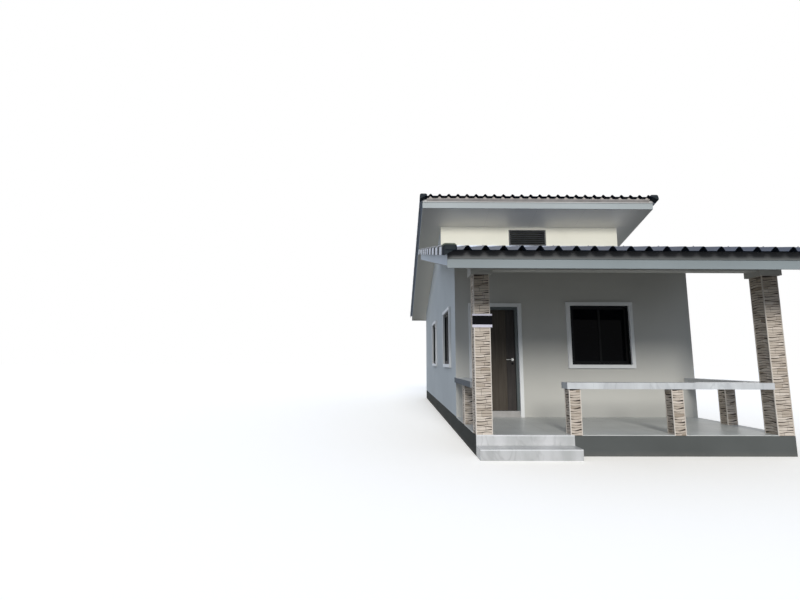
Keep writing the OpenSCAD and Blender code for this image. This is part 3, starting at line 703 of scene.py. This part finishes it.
def course_lines(dice):
    lines, phase = [], dice.uniform(0, FULL_TURN)
    for course in range(COURSES + 1):
        joint = course in (0, COURSES)
        phase += dice.uniform(-0.8, 0.8)
        lines.append({
            "middle": course * TILE / COURSES + (0 if joint else dice.uniform(-5, 5)),
            "wave": 0 if joint else dice.uniform(4, 10), "turns": dice.uniform(0.5, 0.9),
            "phase": phase, "gap": 2 if joint else dice.choice((6, 10, 15, 20)),
            "open_at": dice.choice((0.0, 0.1, 0.5, 0.9, 1.0)), "reach": dice.uniform(0.3, 0.8),
        })
    return lines


def line_at(line, share):
    middle = line["middle"] + line["wave"] * math.sin(FULL_TURN * line["turns"] * share + line["phase"])
    opening = max(0.0, 1 - abs(share - line["open_at"]) / line["reach"])
    return middle, LEAST_GAP + line["gap"] * opening ** 0.8


print("one tile:", TILE, "mm with", COURSES, "courses")

# %% One stone
TRIM_W = 14.0
POINT_STEP = 22
STONE_BACK = -10.0
SHALLOW, DEEP = 0.5, 5.0
RIPPLE, RIPPLE_TURN = 0.8, 9
PILLOW = ((0.12, 1.8), (0.5, 0.0), (0.85, 1.2))


def stone_pillow(shape, face, width, low_line, high_line, span, lift, top, dice):
    steps = max(3, round((span[1] - span[0]) * width / POINT_STEP))
    depth = dice.uniform(SHALLOW, DEEP)
    sway = dice.uniform(0, FULL_TURN)
    grid = []
    for i in range(steps + 1):
        share = span[0] + (span[1] - span[0]) * i / steps
        low, low_gap = line_at(low_line, share)
        high, high_gap = line_at(high_line, share)
        low = min(low + low_gap / 2 + lift, top)
        high = min(max(high - high_gap / 2 + lift, low + 1), top)
        out = -depth + RIPPLE * math.sin(share * RIPPLE_TURN + sway)
        section = [(low, STONE_BACK)]
        section += [(low + up * (high - low), out - drop) for up, drop in PILLOW]
        section.append((high, STONE_BACK))
        grid.append([shape.verts.new(at(*face(TRIM_W + share * width, v, o))) for v, o in section])
    for a, b in zip(grid, grid[1:]):
        for k in range(len(a) - 1):
            shape.faces.new((a[k], b[k], b[k + 1], a[k + 1]))
    shape.faces.new(grid[0])
    shape.faces.new(grid[-1][::-1])


print("a stone has a point about every", POINT_STEP, "mm")

# %% One side of a column
LEAST_TILE, LEAST_COURSE = 5, 14
CUTS = (None, None, 0.35, 0.6, 0.7)
HALF_CUT = 0.01


def stone_side(shape, face, width, height, seed):
    lift = 0.0
    while lift < height - LEAST_TILE:
        dice = random.Random(seed)
        lines = course_lines(dice)
        for low_line, high_line in zip(lines, lines[1:]):
            if low_line["middle"] + lift > height - LEAST_COURSE:
                break
            cut = dice.choice(CUTS)
            spans = [(0.0, 1.0)] if cut is None else [(0.0, cut - HALF_CUT), (cut + HALF_CUT, 1.0)]
            for span in spans:
                stone_pillow(shape, face, width, low_line, high_line, span, lift, height, dice)
        lift += TILE


print("shortest tile:", LEAST_TILE, "mm, thinnest course:", LEAST_COURSE, "mm")

# %% [markdown]
# A column is then a dark core, four sides of stone and four corner trims. The
# trims are pale plastic angles that hide the tiles' cut edges. They show in
# the photo as thin light lines down every corner. Stone, core and trims are
# three pieces, and the stone one stands for the solid.

# %% Columns and posts in stone
CORE_BACK = 9
TRIM_T = 8.0


def corner_angle(x, y, sx, sy):
    outline = [(0.0, 2.5), (0.8, 0.8), (2.5, 0.0), (TRIM_W, 0.0), (TRIM_W, TRIM_T), (TRIM_T, TRIM_T),
               (TRIM_T, TRIM_W), (0.0, TRIM_W)]
    return [(x + sx * a, y + sy * b) for a, b in outline]


def stone_shaft(stone, core, trims, x, y, w, z0, z1, seed):
    add_block(core, (x + CORE_BACK, y + CORE_BACK, z0), (x + w - CORE_BACK, y + w - CORE_BACK, z1))
    sides = [
        lambda u, v, o: (x + u, y - o, z0 + v), lambda u, v, o: (x + w - u, y + w + o, z0 + v),
        lambda u, v, o: (x - o, y + w - u, z0 + v), lambda u, v, o: (x + w + o, y + u, z0 + v),
    ]
    for number, face in enumerate(sides):
        stone_side(stone, face, w - 2 * TRIM_W, z1 - z0, seed + number // 2)
    for cx, cy, sx, sy in ((x, y, 1, 1), (x + w, y, -1, 1), (x, y + w, 1, -1), (x + w, y + w, -1, -1)):
        add_bar(trims, corner_angle(cx, cy, sx, sy), lambda a, b, s: (a, b, s), z0, z1)


def stone_node(name, shafts, seed):
    stone, core, trims = bmesh.new(), bmesh.new(), bmesh.new()
    for x, y, w, z0, z1 in shafts:
        stone_shaft(stone, core, trims, x, y, w, z0, z1, seed)
    cover = make(name + "_stone", stone, stone_face, smooth=40)
    make(name + "_core", core, gap_shade)
    make(name + "_trims", trims, trim_plastic, smooth=35)
    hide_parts(name)


for name in ("column_left", "column_right"):
    low, high = box_mm(name)
    stone_node(name, [(low.x, low.y, high.x - low.x, low.z, high.z)], seed=5)

# %% Posts under the rails
POST_W, RAIL_OVER = 180.0, 30
low, high = box_mm("porch_posts")
front_x = box_mm("front_rail")[0].x + RAIL_OVER
second_x = (front_x + box_mm("column_right")[0].x) / 2
side_y = high.y - POST_W
places = [(front_x, 0), (second_x, 0), (0, side_y), (HOUSE_W - POST_W, side_y)]
stone_node("porch_posts", [(x, y, POST_W, low.z, high.z) for x, y in places], seed=11)

# %% [markdown]
# ## The roofs' planes
# Everything on a roof is set out along its slope. `on_slope` gives a function
# that turns a place on the roof into a place on the site. It is given as x, as
# the y it would have on the sheets' upper side, and as the height above the
# soffit's underside, square to the slope. So a sheet's square end is one y at
# every height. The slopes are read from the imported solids.

# %% Slope functions for both roofs
BUILD_UP, SHEET_T = 205.9, 7.0
SHEET_TOP = BUILD_UP + SHEET_T


def slope_of(name):
    points = [Vector(v.co) for v in nodes[name].data.vertices]
    low = min(points, key=lambda p: (round(p.y, 4), p.z))
    high = max(points, key=lambda p: (round(p.y, 4), -p.z))
    low, high = (low - CORNER) * 1000, (high - CORNER) * 1000
    return low, high.y, math.atan2(high.z - low.z, high.y - low.y)


def on_slope(origin, tilt):
    def roof(x, y, h):
        along = (y - origin.y + SHEET_TOP * math.sin(tilt)) / math.cos(tilt)
        return (x, origin.y + along * math.cos(tilt) - h * math.sin(tilt),
                origin.z + along * math.sin(tilt) + h * math.cos(tilt))
    return roof


def across(roof, mirror):
    return lambda x, h, s: roof(HOUSE_W - x if mirror else x, s, h)


porch_foot, porch_back, porch_tilt = slope_of("porch_soffit")
main_foot, main_back, main_tilt = slope_of("main_soffit")
porch_front, main_front = porch_foot.y, main_foot.y
on_porch, on_main = on_slope(porch_foot, porch_tilt), on_slope(main_foot, main_tilt)
print("roof slopes:", round(math.degrees(porch_tilt), 1), round(math.degrees(main_tilt), 1))

# %% [markdown]
# ## Rolls, laps and mortar
# A sheet is flat pans between rolls every 225 mm. `roll_top` is the outline of
# its upper face. Sheets are about 2 m long and each laps over the one below,
# so a thin wedge is laid across the roof at every second batten: it rises from
# nothing to 4.5 mm and ends in a sharp step, which is what the eye sees of a
# lap. At the eaves the hollow under every roll is stopped with mortar, rough
# with sand. On the main roof it is clean and pale, and drawn out along the
# front as a bead under the sheets. On the porch it is painted near black, as
# painted shade for the deep shade under the porch sheets.

# %% The sheets' outline
ROLL_PITCH, ROLL_W, ROLL_H, ROLL_R = 225.0, 112.0, 55.0, 28.0
ROLL_STEPS = 8
CAP_IN = -425.0
FIRST_PORCH_ROLL, FIRST_MAIN_ROLL = 130.0, 87.0
arc_centre = ROLL_H - ROLL_R
flank = math.atan2(arc_centre, ROLL_W / 2) + math.asin(ROLL_R / math.hypot(ROLL_W / 2, arc_centre))


def roll_outline(centre, foot, radius, lift, height):
    lean = math.degrees(flank)
    top = [(centre + x, height + lift + h) for x, h in arc(radius, 90 + lean, 90 - lean, ROLL_STEPS)]
    return [(centre - foot / 2, height)] + top + [(centre + foot / 2, height)]


def roll_centres(first):
    count = int((HOUSE_W - 2 * CAP_IN - first - ROLL_W / 2 - SHEET_T) / ROLL_PITCH) + 1
    return [CAP_IN + first + i * ROLL_PITCH for i in range(count)]


def roll_top(first, height, x0, x1):
    points = [(x0, height)]
    for centre in roll_centres(first):
        points += roll_outline(centre, ROLL_W, ROLL_R, arc_centre, height)
    return points + [(x1, height)]


print("rolls on the porch roof:", len(roll_centres(FIRST_PORCH_ROLL)))

# %% Laps at every second batten
HALF_BATTEN = 25
PORCH_BATTEN_PITCH, MAIN_BATTEN_PITCH = 992.3, 937.5
LAP_FOOT, LAP_TAIL, LAP_H, LAP_EDGE = 60, 140, 4.5, 10
porch_battens = [porch_front + HALF_BATTEN + i * PORCH_BATTEN_PITCH for i in range(7)]
main_battens = [main_front + HALF_BATTEN + i * MAIN_BATTEN_PITCH for i in range(9)]


def lap(shape, roof, first, foot_y, tail_y):
    low = roll_top(first, SHEET_TOP - 0.3, CAP_IN + LAP_EDGE, HOUSE_W - CAP_IN - LAP_EDGE)
    tail = [shape.verts.new(at(*roof(x, tail_y, h))) for x, h in low]
    top = [shape.verts.new(at(*roof(x, foot_y, h + LAP_H))) for x, h in low]
    step = [shape.verts.new(at(*roof(x, foot_y, h))) for x, h in low]
    for i in range(len(low) - 1):
        shape.faces.new((tail[i], tail[i + 1], top[i + 1], top[i]))
        shape.faces.new((top[i], top[i + 1], step[i + 1], step[i]))


laps = bmesh.new()
for y in porch_battens[2:6:2]:
    lap(laps, on_porch, FIRST_PORCH_ROLL, y - LAP_FOOT, y + LAP_TAIL)
for y in main_battens[2:8:2]:
    lap(laps, on_main, FIRST_MAIN_ROLL, y + LAP_FOOT, y - LAP_TAIL)
make("sheet_laps", laps, sheet_paint, smooth=30)

# %% Mortar stops under the rolls at the eaves
MORTAR = {"roughness": 0.9, "patch": 90, "grain": 10, "depth": 0.8}
mortar_pale = finish("pale_mortar", "#C6BEB8", "#B5ADA7", **MORTAR)
# The porch mortar is the same mortar in near black: painted shade.
mortar_painted_shade = finish("mortar_in_painted_shade", "#232326", "#191A1D", **MORTAR, gloss=0.1)
STOP_OUT, STOP_IN = 14, 10
CLEAN_OUT, CLEAN_IN = 70, 2
BEAD = ((-78, 1), (-10, 1), (-10, 50), (-22, 46), (-74, 14))
under_width = ROLL_W - 2 * SHEET_T / math.sin(flank) + 2 * SHEET_T / math.tan(flank)


def stops(shape, roof, first, y0, y1):
    radius = ROLL_R - SHEET_T - 0.5
    for centre in roll_centres(first):
        outline = roll_outline(centre, under_width - 1, radius, arc_centre + SHEET_T, BUILD_UP)
        add_bar(shape, outline, lambda x, h, y: roof(x, y, h), y0, y1)


porch_mortar, main_mortar = bmesh.new(), bmesh.new()
stops(porch_mortar, on_porch, FIRST_PORCH_ROLL, porch_front - STOP_OUT, porch_front + STOP_IN)
stops(main_mortar, on_main, FIRST_MAIN_ROLL, main_front - CLEAN_OUT, main_front + CLEAN_IN)
stops(main_mortar, on_main, FIRST_MAIN_ROLL, main_back + STOP_OUT, main_back - STOP_OUT)
bead = [(main_front + out, BUILD_UP - drop) for out, drop in BEAD]
add_bar(main_mortar, bead, lambda y, h, x: on_main(x, y, h), CAP_IN, HOUSE_W - CAP_IN)
make("porch_mortar_stops", porch_mortar, mortar_painted_shade, smooth=40)
make("main_mortar_stops", main_mortar, mortar_pale, smooth=40)

# %% [markdown]
# ## Verge caps in short lengths
# The hoods along both sides of a roof come in pieces of about 600 mm. Each
# slips over the next, so its lower half is a thicker collar. Seen from below,
# the collars' flat sides catch the daylight, a row of bright bars with dark
# ones between. The bright bars are a painted highlight: only the collars' sides
# are pale, so the paint asks which way a face looks. The solid is one long
# hood, so the collars are thin shells round it.
# At the front each hood ends in a closed piece that is a little higher, and
# rounded like a loaf. Its outline shrinks ring by ring towards the tip.

# %% The outline of a hood
CAP_W, CAP_LEG, CAP_ROUND, CAP_CLEAR = 175.0, 132.0, 40.0, 8.3
QUARTER_STEPS = 6
cap_top = SHEET_TOP + ROLL_H + CAP_CLEAR
cap_out = CAP_IN - CAP_W


def cap_outline(grow, lift=0.0):
    points = [(cap_out - grow, cap_top - CAP_LEG)]
    for centre, first in ((cap_out + CAP_ROUND, 180), (CAP_IN - CAP_ROUND, 90)):
        points += [(centre + x, cap_top + lift - CAP_ROUND + h)
                   for x, h in arc(CAP_ROUND + grow, first, first - 90, QUARTER_STEPS)]
    return points + [(CAP_IN + grow, SHEET_TOP + 1)]


print("a hood's top stands", round(cap_top - SHEET_TOP, 1), "mm above the pans")

# %% Collars and closed ends
COLLAR_LEN, COLLAR_GAP, EAVE_OUT = 300, 6, 30
END_LEN, END_LIFT, END_WALL = 128.0, 15.0, (30, 24)
END_RINGS = ((-25.0, 0.0), (-8.0, 8.0), (0.0, 18.0), (3.0, 32.0), (3.0, END_LEN))


def closed_end(shape, place, tip):
    rings = []
    for grow, back in END_RINGS:
        outline = cap_outline(grow, END_LIFT)
        outline += [(CAP_IN - END_WALL[0], SHEET_TOP + 1), (cap_out + END_WALL[1], cap_top - CAP_LEG)]
        rings.append([shape.verts.new(at(*place(x, h, tip + back))) for x, h in outline])
    for a, b in zip(rings, rings[1:]):
        for i in range(len(a)):
            shape.faces.new((a[i - 1], a[i], b[i], b[i - 1]))
    shape.faces.new(rings[0][::-1])
    shape.faces.new(rings[-1])


collars, ends = bmesh.new(), bmesh.new()
collar_shell = cap_outline(4.0) + cap_outline(0.2)[::-1]
for mirror in (False, True):
    for roof, front, pitch, count in ((on_porch, porch_front, 612, 10),
                                      (on_main, main_front, 615, 13)):
        first = front - EAVE_OUT
        closed_end(ends, across(roof, mirror), first - END_LEN)
        for i in range(count):
            foot = first + COLLAR_GAP + pitch * i
            add_bar(collars, collar_shell, across(roof, mirror), foot, foot + COLLAR_LEN)
print("closed ends:", len(ends.faces), "faces, collars:", len(collars.faces), "faces")

# %% [markdown]
# Moss grows on top of the closed ends of the low roof, where rain drips from
# above. The high roof's ends stay clean, so the moss asks for the height too.

# %% Finishes of the collars and ends
collar_painted_highlight, tree, shader, place = start("cap_collar_painted_highlight", 0.5)
# The pale sides are a painted highlight for the daylight that they catch.
collar_highlight = two_tone(tree, place, "#D2D8E2", "#C6CCD6", 120)
colour = add(tree, "ShaderNodeMix", {0: facing(tree, "Z", 0.35), 6: collar_highlight, 7: linear("#343944")},
             data_type="RGBA")
feed(tree, shader, {"Base Color": colour.outputs[2], "Normal": grain_bump(tree, place, 20, 0.3)})
make("verge_cap_collars", collars, collar_painted_highlight, smooth=30)

mossy_end, tree, shader, place = start("mossy_cap_end", 0.8, gloss=0.1)
low_roof = past(tree, place, "Z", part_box("main_roof_sheets")[0].z, "LESS_THAN")
mossy = add(tree, "ShaderNodeMath", {0: facing(tree, "Z", 0.1), 1: low_roof}, operation="MULTIPLY")
colour = add(tree, "ShaderNodeMix", {
    0: mossy.outputs["Value"], 6: linear("#2E3336"), 7: two_tone(tree, place, "#6A6F60", "#575C50", 60),
}, data_type="RGBA")
feed(tree, shader, {"Base Color": colour.outputs[2], "Normal": grain_bump(tree, place, 14, 0.6)})
make("verge_cap_ends", ends, mossy_end, smooth=30)

# %% [markdown]
# ## The verges' upper strips
# Like the eaves, the verges have two boards: outside the tall one runs a thick
# strip just under the sheets, which closes the hollow of the hoods. From below
# it is all one sees there. It is a plain bar along the slope, so it is drawn
# as an outline and pulled from end to end.

# %% Strips between the verge boards and the hoods
STRIP_W, STRIP_H = 58, 66
SEAT_GAP = 0.3
inner_x = box_mm("porch_verge_boards")[0].x
near_x, far_x = inner_x - SEAT_GAP, inner_x - STRIP_W
foot, head = SHEET_TOP - STRIP_H, BUILD_UP - 1
outline = [(near_x, foot), (near_x, head), (far_x, head), (far_x, foot)]
for name, roof, y0, y1, paint in (
    ("porch_verge_strips", on_porch, porch_front, porch_back - 10, board_paint),
    ("main_verge_strips", on_main, main_front + 5, main_back - 10, high_board_paint),
):
    strips = bmesh.new()
    for mirror in (False, True):
        add_bar(strips, outline, across(roof, mirror), y0, y1)
    make(name, strips, paint)

# %% [markdown]
# ## Roof screws
# Every second roll is screwed to each batten with a hexagon-headed screw on a
# rubber washer, but not to the last one of the low roof, which lies under the
# apron. They are zinc-coated and the size of a coin, but from above their rows
# give the roof its scale.

# %% Screws on the rolls
WASHER, HEAD = (10.0, -1.0, 2.5, 12), (6.0, 2.5, 8.0, 6)


def screw(shape, roof, x, y):
    for radius, low, high, sides in (WASHER, HEAD):
        add_bar(shape, circle(radius, sides),
                lambda a, b, s: roof(x + a, y + b, SHEET_TOP + ROLL_H + s), low, high)


screws = bmesh.new()
for roof, battens, first in ((on_porch, porch_battens[:-1], FIRST_PORCH_ROLL),
                             (on_main, main_battens, FIRST_MAIN_ROLL)):
    for y in battens:
        for x in roll_centres(first)[1::2]:
            screw(screws, roof, x, y)
screw_zinc = finish("zinc_screw", "#8E9196", "#7C7F84", roughness=0.45, patch=20, grain=5, depth=0.05,
                    metallic=0.9)
make("roof_screws", screws, screw_zinc)

# %% [markdown]
# ## The front door
# The leaf is a flat laminated door in a very dark brown wood decor with fine
# upright grain, 1 mm wide on the real one and drawn at 19 mm. A groove runs
# down it at about three quarters of its width, and the strip beyond it is
# darker. The solid is a plain board, so a new leaf stands for it, with
# eased edges and the groove, and a dark lock is set below the lever. All of it
# rides on the door's own body and swings with the leaf.

# %% Door leaf with its groove
leaf_low, leaf_high = box_mm("door_leaf")
GROOVE_AT = 0.78
EASE, GROOVE_D, GROOVE_TOP, GROOVE_FOOT = 2, 3, 3, 1
groove_x = leaf_low.x + GROOVE_AT * (leaf_high.x - leaf_low.x)
door_wood, tree, shader, place = start("dark_wood_laminate", 0.33, gloss=0.02)
upright = add(tree, "ShaderNodeVectorMath", {0: place, 1: (14.0, 14.0, 1.0)},
              operation="MULTIPLY").outputs["Vector"]
past_groove = past(tree, place, "X", at(groove_x, 0, 0).x)
browns = two_paints(tree, upright, past_groove, ("#504A43", "#47413A"), ("#433F3D", "#3B3836"), 260)
feed(tree, shader, {"Base Color": browns, "Normal": grain_bump(tree, upright, 60, 0.2)})

front_y = leaf_low.y
front = [(leaf_low.x, front_y + EASE), (leaf_low.x + EASE, front_y), (groove_x - GROOVE_TOP, front_y),
         (groove_x - GROOVE_FOOT, front_y + GROOVE_D), (groove_x + GROOVE_FOOT, front_y + GROOVE_D),
         (groove_x + GROOVE_TOP, front_y), (leaf_high.x - EASE, front_y),
         (leaf_high.x, front_y + EASE)]
back = [(x, front_y + leaf_high.y - y) for x, y in reversed(front)]
leaf = bmesh.new()
add_bar(leaf, front + back, lambda a, b, s: (a, b, s), leaf_low.z, leaf_high.z)
leaf_piece = make("door_leaf_laminate", leaf, door_wood, body="door")
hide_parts("door_leaf")

# %% Lock roses on both faces of the leaf
ROSE_R, ROSE_T = 24, 6
LOCK_IN, LOCK_BELOW = 62, 52
lock_x = leaf_high.x - LOCK_IN
lock_z = box_mm("door_handle")[0].z - LOCK_BELOW
lock = bmesh.new()
for y0, y1 in ((leaf_low.y - ROSE_T, leaf_low.y), (leaf_high.y, leaf_high.y + ROSE_T)):
    add_bar(lock, circle(ROSE_R, 32), lambda a, b, s: (lock_x + a, s, lock_z + b), y0, y1)
make("door_lock_roses", lock, black_coat, body="door", smooth=40)

# %% [markdown]
# ## Step nosings
# A tiled step chips at its edge, so a white plastic quarter-round is bedded
# along each. In the photo these are the brightest lines on the porch.

# %% Quarter-round nosings on the steps
NOSING_R = 16
STEP_RISE = 155.0
FLOOR_EDGE = -14.0
nosing_white = finish("white_tile_nosing", "#F8F8F8", "#F2F2F2", roughness=0.25, patch=200, grain=30,
                      depth=0.05)
step_low, step_high = box_mm("entrance_steps")
quarter = [(0.0, 0.0)] + arc(NOSING_R, 0, 90, QUARTER_STEPS)
nosing = bmesh.new()
for y, z in ((step_low.y, STEP_RISE), (FLOOR_EDGE, PORCH_Z)):
    add_bar(nosing, quarter, lambda a, b, s: (s, y - 1 + NOSING_R - a, z + 1 - NOSING_R + b),
            0, step_high.x)
make("step_nosings", nosing, nosing_white, smooth=30)

# %% [markdown]
# ## The plate on the left column
# The plate is made of cast acrylic, even and glossy: a white backing with a
# black panel across its middle, held by two small dark screws. It is bare.

# %% The bare plate
ACRYLIC = {"roughness": 0.3, "patch": 200, "grain": 30, "depth": 0.05}
PANEL_FOOT, PANEL_HEAD, PANEL_PROUD = 42, 28, 2
HEAD_IN, HEAD_R, HEAD_PROUD = 16, 5, 3.5
dress(finish("white_acrylic", "#CFCCD9", "#C8C5D2", **ACRYLIC), "number_plate")
black_acrylic = finish("black_acrylic", "#0E0E12", "#0B0B0F", **ACRYLIC, gloss=0.03)
low, high = box_mm("number_plate")
panel = bmesh.new()
add_block(panel, (low.x, low.y - PANEL_PROUD, low.z + PANEL_FOOT),
          (high.x, low.y + 1, high.z - PANEL_HEAD), round_edge=1.0)
make("number_plate_panel", panel, black_acrylic)
heads = bmesh.new()
for x in (low.x + HEAD_IN, high.x - HEAD_IN):
    add_bar(heads, circle(HEAD_R, 16), lambda a, b, s: (x + a, s, (low.z + high.z) / 2 + b),
            low.y - HEAD_PROUD, low.y)
make("number_plate_screws", heads, black_coat, smooth=40)

# %% [markdown]
# ## The studio
# The object stands on a plain pale floor under a plain soft light. The photo
# was taken in low, almost frontal sunlight and bright open daylight: fronts
# are light, the sides are cool, and the porch wall darkens towards its
# ceiling, where less daylight reaches. A world that shines evenly and one soft
# sun from the front give that. The sun is 17 degrees wide, far more than the
# real one, so that the shade of the eaves fades slowly down the wall.

# %% Sun
SUN_HEIGHT = math.radians(19.8)
sun = bpy.data.lights.new("soft_front_sun", "SUN")
sun.energy = 2.38
sun.angle = math.radians(17)
sun.color = (0.97, 0.96, 0.93)
sun_object = bpy.data.objects.new("soft_front_sun", sun)
towards = Vector((0.06, math.cos(SUN_HEIGHT), -math.sin(SUN_HEIGHT)))
sun_object.rotation_mode = "QUATERNION"
sun_object.rotation_quaternion = towards.to_track_quat("-Z", "Y")
bpy.context.scene.collection.objects.link(sun_object)
print("sun", sun.energy)

# %% [markdown]
# ## White all round
# The floor and the world look white to rays that come from the camera, a
# reflection or a pane, so that no horizon shows. For all other rays both are
# their plain selves, a mid-grey floor and a world of cool daylight. That keeps
# the shade under the roofs deep. The house's shadow stays on the floor, and a
# faint glow keeps the floor round it white.

# %% World
FILL = 0.66
world = bpy.data.worlds.new("studio_world")
bpy.context.scene.world = world
world.use_nodes = True


def seen_directly(tree):
    rays = add(tree, "ShaderNodeLightPath")
    seen = add(tree, "ShaderNodeMath", {
        0: rays.outputs["Is Camera Ray"], 1: rays.outputs["Is Glossy Ray"],
    }, operation="MAXIMUM")
    return add(tree, "ShaderNodeMath", {
        0: seen.outputs["Value"], 1: rays.outputs["Is Transmission Ray"],
    }, operation="MAXIMUM").outputs["Value"]


tree = world.node_tree
tree.nodes.clear()
daylight = add(tree, "ShaderNodeBackground", {"Color": linear("#DBE8FC"), "Strength": FILL})
white = add(tree, "ShaderNodeBackground", {"Color": (1, 1, 1, 1), "Strength": 1.0})
either = add(tree, "ShaderNodeMixShader", {
    0: seen_directly(tree), 1: daylight.outputs["Background"], 2: white.outputs["Background"],
})
add(tree, "ShaderNodeOutputWorld", {"Surface": either.outputs["Shader"]})
print("world fill", FILL)

# %% Floor
FLOOR_GLOW = 0.3
FLOOR_HALF = 150
floor_paint, tree, shader, place = start("studio_floor_paint", 0.9, gloss=0.0)
direct = seen_directly(tree)
mid_grey = two_tone(tree, place, "#8F8E8A", "#8A8985", 3000)
colour = add(tree, "ShaderNodeMix", {0: direct, 6: mid_grey, 7: (1, 1, 1, 1)}, data_type="RGBA")
glow = add(tree, "ShaderNodeMath", {0: direct, 1: FLOOR_GLOW}, operation="MULTIPLY")
feed(tree, shader, {
    "Base Color": colour.outputs[2], "Emission Color": (1.0, 0.9, 0.72, 1),
    "Emission Strength": glow.outputs["Value"],
})
floor = bmesh.new()
bmesh.ops.create_grid(floor, x_segments=1, y_segments=1, size=FLOOR_HALF)
floor_mesh = bpy.data.meshes.new("studio_floor")
floor.to_mesh(floor_mesh)
floor.free()
floor_mesh.materials.append(floor_paint)
studio_floor = bpy.data.objects.new("studio_floor", floor_mesh)
studio_floor.location.z = CORNER.z
bpy.context.scene.collection.objects.link(studio_floor)
studio_floor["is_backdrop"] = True
bpy.context.scene.view_settings.view_transform = "Standard"
print("floor", 2 * FLOOR_HALF, "m wide at height", round(CORNER.z, 3))

# %% [markdown]
# ## The camera
# The photo was taken from a height of 1.35 m, to the left of the house's front
# corner, looking slightly up. Its place, tilt and focal length were found from
# the house's own straight edges, and are set here as numbers: 449 pixels of
# focal length on an 800 pixel wide picture are 20.2 mm on a 36 mm sensor.

# %% Camera at the photo's place
PITCH, YAW, ROLL = 0.1382, -0.0080, 0.0030
EYE = (-1171, -6760, 1347)
SENSOR, FOCAL_PIXELS, PICTURE_W = 36.0, 449.1, 800
camera = bpy.data.cameras.new("photo_camera")
camera.sensor_width = SENSOR
camera.lens = FOCAL_PIXELS / PICTURE_W * SENSOR
camera_object = bpy.data.objects.new("photo_camera", camera)
bpy.context.scene.collection.objects.link(camera_object)
side = Vector((math.cos(YAW), math.sin(YAW), 0))
forward = Vector((-math.sin(YAW) * math.cos(PITCH), math.cos(YAW) * math.cos(PITCH), math.sin(PITCH)))
above = side.cross(forward)
right = math.cos(ROLL) * side + math.sin(ROLL) * above
up = -math.sin(ROLL) * side + math.cos(ROLL) * above
turn = Matrix((right, up, -forward)).transposed().to_4x4()
camera_object.matrix_world = Matrix.Translation(at(*EYE)) @ turn
bpy.context.scene.camera = camera_object
print("camera at", [round(v, 3) for v in camera_object.location])

# %% [markdown]
# ## The dressed house's bounds, and the end
# The bounds of the dressed house are measured here. The dressed house may not outgrow
# the solids.

# %% Measure the dressed house's box and finish
low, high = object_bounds()
